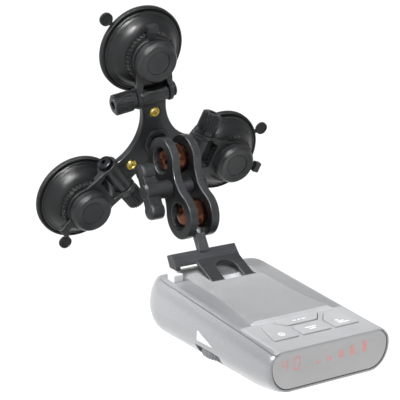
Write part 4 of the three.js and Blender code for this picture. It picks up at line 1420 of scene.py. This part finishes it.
DIGIT_WIDE, DIGIT_HIGH, STROKE = 3.0, 6.0, 0.7
SEGMENTS = {
    "top": (0.2, 1, 0.8, 1), "middle": (0.2, 0.5, 0.8, 0.5), "bottom": (0.2, 0, 0.8, 0),
    "upper_left": (0, 0.64, 0, 0.9), "upper_right": (1, 0.64, 1, 0.9),
    "lower_left": (0, 0.1, 0, 0.36), "lower_right": (1, 0.1, 1, 0.36),
}
DIGITS = [(-27.4, ("upper_left", "upper_right", "middle", "lower_right")),
          (-20.8, ("top", "upper_left", "upper_right", "lower_left", "lower_right", "bottom"))]
BARS = [(-7.1, 1.2), (-0.9, 2.2), (6.0, 4.0), (12.4, 4.8), (19.5, 5.8)]
BAR_HALF, BAR_LIFT = 1.2, 0.3
DIGIT_AT = 10.4


def lit_shape(x0, x1, z0, z1, corner):
    """A thin lit rectangle between two heights, standing at the window's face."""
    line = soften([(x0, -z0), (x1, -z0), (x1, -z1), (x0, -z1)], corner)
    return moved(slab([turned_way(line, False)], 0.04, 0.18, 0.02), STANDING)


lit = []
for x, names in DIGITS:
    for name in names:
        x0, z0, x1, z1 = SEGMENTS[name]
        lit.append(lit_shape(x + DIGIT_WIDE * x0 - STROKE / 2, x + DIGIT_WIDE * x1 + STROKE / 2,
                             DIGIT_AT + DIGIT_HIGH * z0 - STROKE / 2,
                             DIGIT_AT + DIGIT_HIGH * z1 + STROKE / 2, 0.25))
for x, high in BARS:
    lit.append(lit_shape(x - BAR_HALF, x + BAR_HALF, DIGIT_AT + BAR_LIFT, DIGIT_AT + high, 0.4))
piece("lit_segments_look", lit, AT_DETECTOR, "detector", [], LIT)
print("display:", len(DIGITS), "digits and", len(BARS), "bars")

# %% [markdown]
# ## Keys
# Four soft-touch keys stand a little proud of the deck and follow its slope. Their caps use the same
# outlines as the holes in the cover. Each carries a plain printed mark: dashes, dots or a ring, raised by
# a few hundredths of a millimetre as thick ink is, because a painted pattern would blur at this size.

# %% Keys

SLOPE = Matrix(((1, 0, 0, 0), (0, 1, 0, 0), (0, DECK_SLOPE, 1, DECK_FRONT), (0, 0, 0, 1)))
ON_DECK = AT_DETECTOR @ SLOPE
KEY_TOP = -0.7


def printed(loops):
    """A thin printed shape on top of a key."""
    return slab(loops, KEY_TOP - 0.1, KEY_TOP + 0.06, 0.02)


def dash(x, y, wide, deep=0.8):
    u, v = wide / 2, deep / 2
    return printed([soften([(x - u, y - v), (x + u, y - v), (x + u, y + v), (x - u, y + v)], 0.3)])


def dot(x, y, radius=0.6):
    return printed([arc(radius, 20, (x, y))])


KEY_MARKS = {
    "upper": [dash(-2.6, 25.2, 2.2), dot(0, 25.2), dash(2.6, 25.2, 2.2)],
    "middle": [dash(0, 15.9, 6.4), dash(0, 14.1, 3.6)],
    "left": [printed([arc(1.7, 32, (-17.2, 15)), arc(1.1, 32, (-17.2, 15))]), dot(-17.2, 15, 0.5)],
    "right": [dash(15.6, 16.6, 2.0), dash(16.6, 15, 4.0), dash(17.6, 13.4, 6.0)],
}
for name, line in KEY_LINES.items():
    cap = slab([turned_way(soften(line, KEY_CORNER), False)], -3.4, KEY_TOP, 0.35)
    piece(f"{name}_key_look", [cap], ON_DECK, f"{name}_key", [f"{name}_button"], KEY)
    piece(f"{name}_key_mark", KEY_MARKS[name], ON_DECK, f"{name}_key", [], MARK)
print("keys:", ", ".join(KEY_LINES))

# %% [markdown]
# ## Release button and volume wheel
# The release button is a pale block with a finger groove across its top and a wide foot that keeps it in
# the case. The volume wheel is a thin knurled disc on a hub, of which only an edge shows in its slot; the
# knurls are cut in the outline, so they catch on the light at that edge.

# %% Release button and wheel

WHEEL_R, KNURL_DEEP, KNURLS = 12.6, 0.6, 44
groove_y, groove_z = (ry0 + ry1) / 2, 31.1
tab = [("", [block(rx0, rx1, ry0, ry1, 21.4, 30.6, 0.7)]),
       ("DIFFERENCE", [rod(1.3, (rx0 - 1, groove_y, groove_z), (rx1 + 1, groove_y, groove_z), 0, 32)]),
       ("UNION", [block(rx0 - 0.4, rx1 + 1, ry0 - 1, ry1 + 1, 20, 22.2, 0.3)])]
built("release_tab_look", joined("release_tab", tab, AT_DETECTOR), "release_key", ["release_button"],
      TAB_WHITE)

AT_WHEEL = AT_DETECTOR @ Matrix.Translation(WHEEL_AT)
wheel_line = soften(toothed(WHEEL_R, KNURL_DEEP, KNURLS), 0.12, steps=2)
wheel = [("", [slab([wheel_line], 1.6, 4.8, 0.3)]),
         ("UNION", [rod(3, (0, 0, 4.5), (0, 0, 6.7), 0.3, 32)])]
built("volume_wheel_look", joined("volume_wheel", wheel, AT_WHEEL), "wheel", ["volume_wheel"],
      WHEEL_GREY)
print("wheel:", KNURLS, "knurls")

# %% [markdown]
# ## Inside the case
# The boards, the radar horn, the speaker, the socket and the two case screws are plain solids that only
# show through the openings, so the CAD solids stay. They get rolled edges and their own finishes: green
# laminate for the boards, bright metal for the horn and screws, dark nylon for the speaker and socket.

# %% Finishes for the solids that stay

KEPT = {"display_board": BOARD, "switch_board": BOARD, "main_board": BOARD, "horn_antenna": STEEL,
        "speaker": SOCKET, "power_socket": SOCKET, "left_case_screw": STEEL, "right_case_screw": STEEL}
for node, finish in KEPT.items():
    carried(node, finish)
print("carried over:", ", ".join(KEPT))

# %% [markdown]
# ## Floor
# The mount hangs from a windscreen, so the plain pale floor lies well under it, clear of every position of
# the joints. It is wide enough to reach the horizon in a low view.

# %% Floor

FLOOR_DROP = 0.16
FLOOR_REACH = 40
FLOOR_AT = cad_box[0][2] - FLOOR_DROP
floor_mesh = bpy.data.meshes.new("floor")
work = bmesh.new()
bmesh.ops.create_grid(work, x_segments=2, y_segments=2, size=FLOOR_REACH)
bmesh.ops.translate(work, verts=work.verts, vec=(0, 0, FLOOR_AT))
work.to_mesh(floor_mesh)
work.free()
floor = bpy.data.objects.new("floor", floor_mesh)
scene.collection.objects.link(floor)
studio = Finish("studio_floor", "#FAFAFA", 0.8)
paper = studio.grain(300.0)
studio.tint(paper, "Fac", "#F8F8F8", "#FCFCFC")
floor_mesh.materials.append(studio.material)
print("floor", FLOOR_DROP, "m under the object")

# %% [markdown]
# ## Light
# A product table is lit softly from all round. An even pale sky fills the shadows, one broad soft light
# comes from above, and a narrow strip from the upper left draws the streak along the case's side. Black
# gloss shows what it mirrors, so a narrow beam from the front falls on the cups and the arm only, where
# it draws soft bright patches on the domes and lines on the bevels.

# %% Lights

KEY_AT = look_at - to_right * 0.3 + to_top * 0.85 + to_viewer * 0.6
KEY_POWER, KEY_SPREAD = 2.5, math.radians(40)
STRIP_AT = look_at - to_right * 0.5 + to_top * 0.6 + to_viewer * 0.3
STRIP_TARGET = look_at + to_top * 0.12
STRIP_POWER, STRIP_SPREAD = 0.5, math.radians(24)
STRIP_WIDE, STRIP_LONG = 0.16, 0.6
CUPS_AT = look_at - to_right * 0.025 + to_top * 0.042
BEAM_AT = CUPS_AT + to_viewer * 0.9 + to_top * 0.3 + to_right * 0.12
BEAM_POWER, BEAM_SPREAD, BEAM_WIDE = 0.11, math.radians(5), 0.115
SKY_STRENGTH = 0.45


def lamp(name, kind, at, target, power):
    """A light at one point, turned to face another."""
    data = bpy.data.lights.new(name, kind)
    data.energy = power
    obj = bpy.data.objects.new(name, data)
    scene.collection.objects.link(obj)
    obj.location = at
    obj.rotation_euler = (target - at).to_track_quat("-Z", "Y").to_euler()
    return data


lamp("key_light", "SUN", KEY_AT, look_at, KEY_POWER).angle = KEY_SPREAD
strip = lamp("strip_light", "AREA", STRIP_AT, STRIP_TARGET, STRIP_POWER)
strip.shape, strip.spread = "RECTANGLE", STRIP_SPREAD
strip.size, strip.size_y = STRIP_WIDE, STRIP_LONG
beam = lamp("front_beam", "AREA", BEAM_AT, CUPS_AT, BEAM_POWER)
beam.size, beam.spread = BEAM_WIDE, BEAM_SPREAD
world = bpy.data.worlds.new("studio")
world.use_nodes = True
sky = world.node_tree.nodes["Background"]
sky.inputs["Color"].default_value = (1, 1, 1, 1)
sky.inputs["Strength"].default_value = SKY_STRENGTH
scene.world = world
scene.view_settings.view_transform = "Standard"
print("lights:", ", ".join(light.name for light in bpy.data.lights))
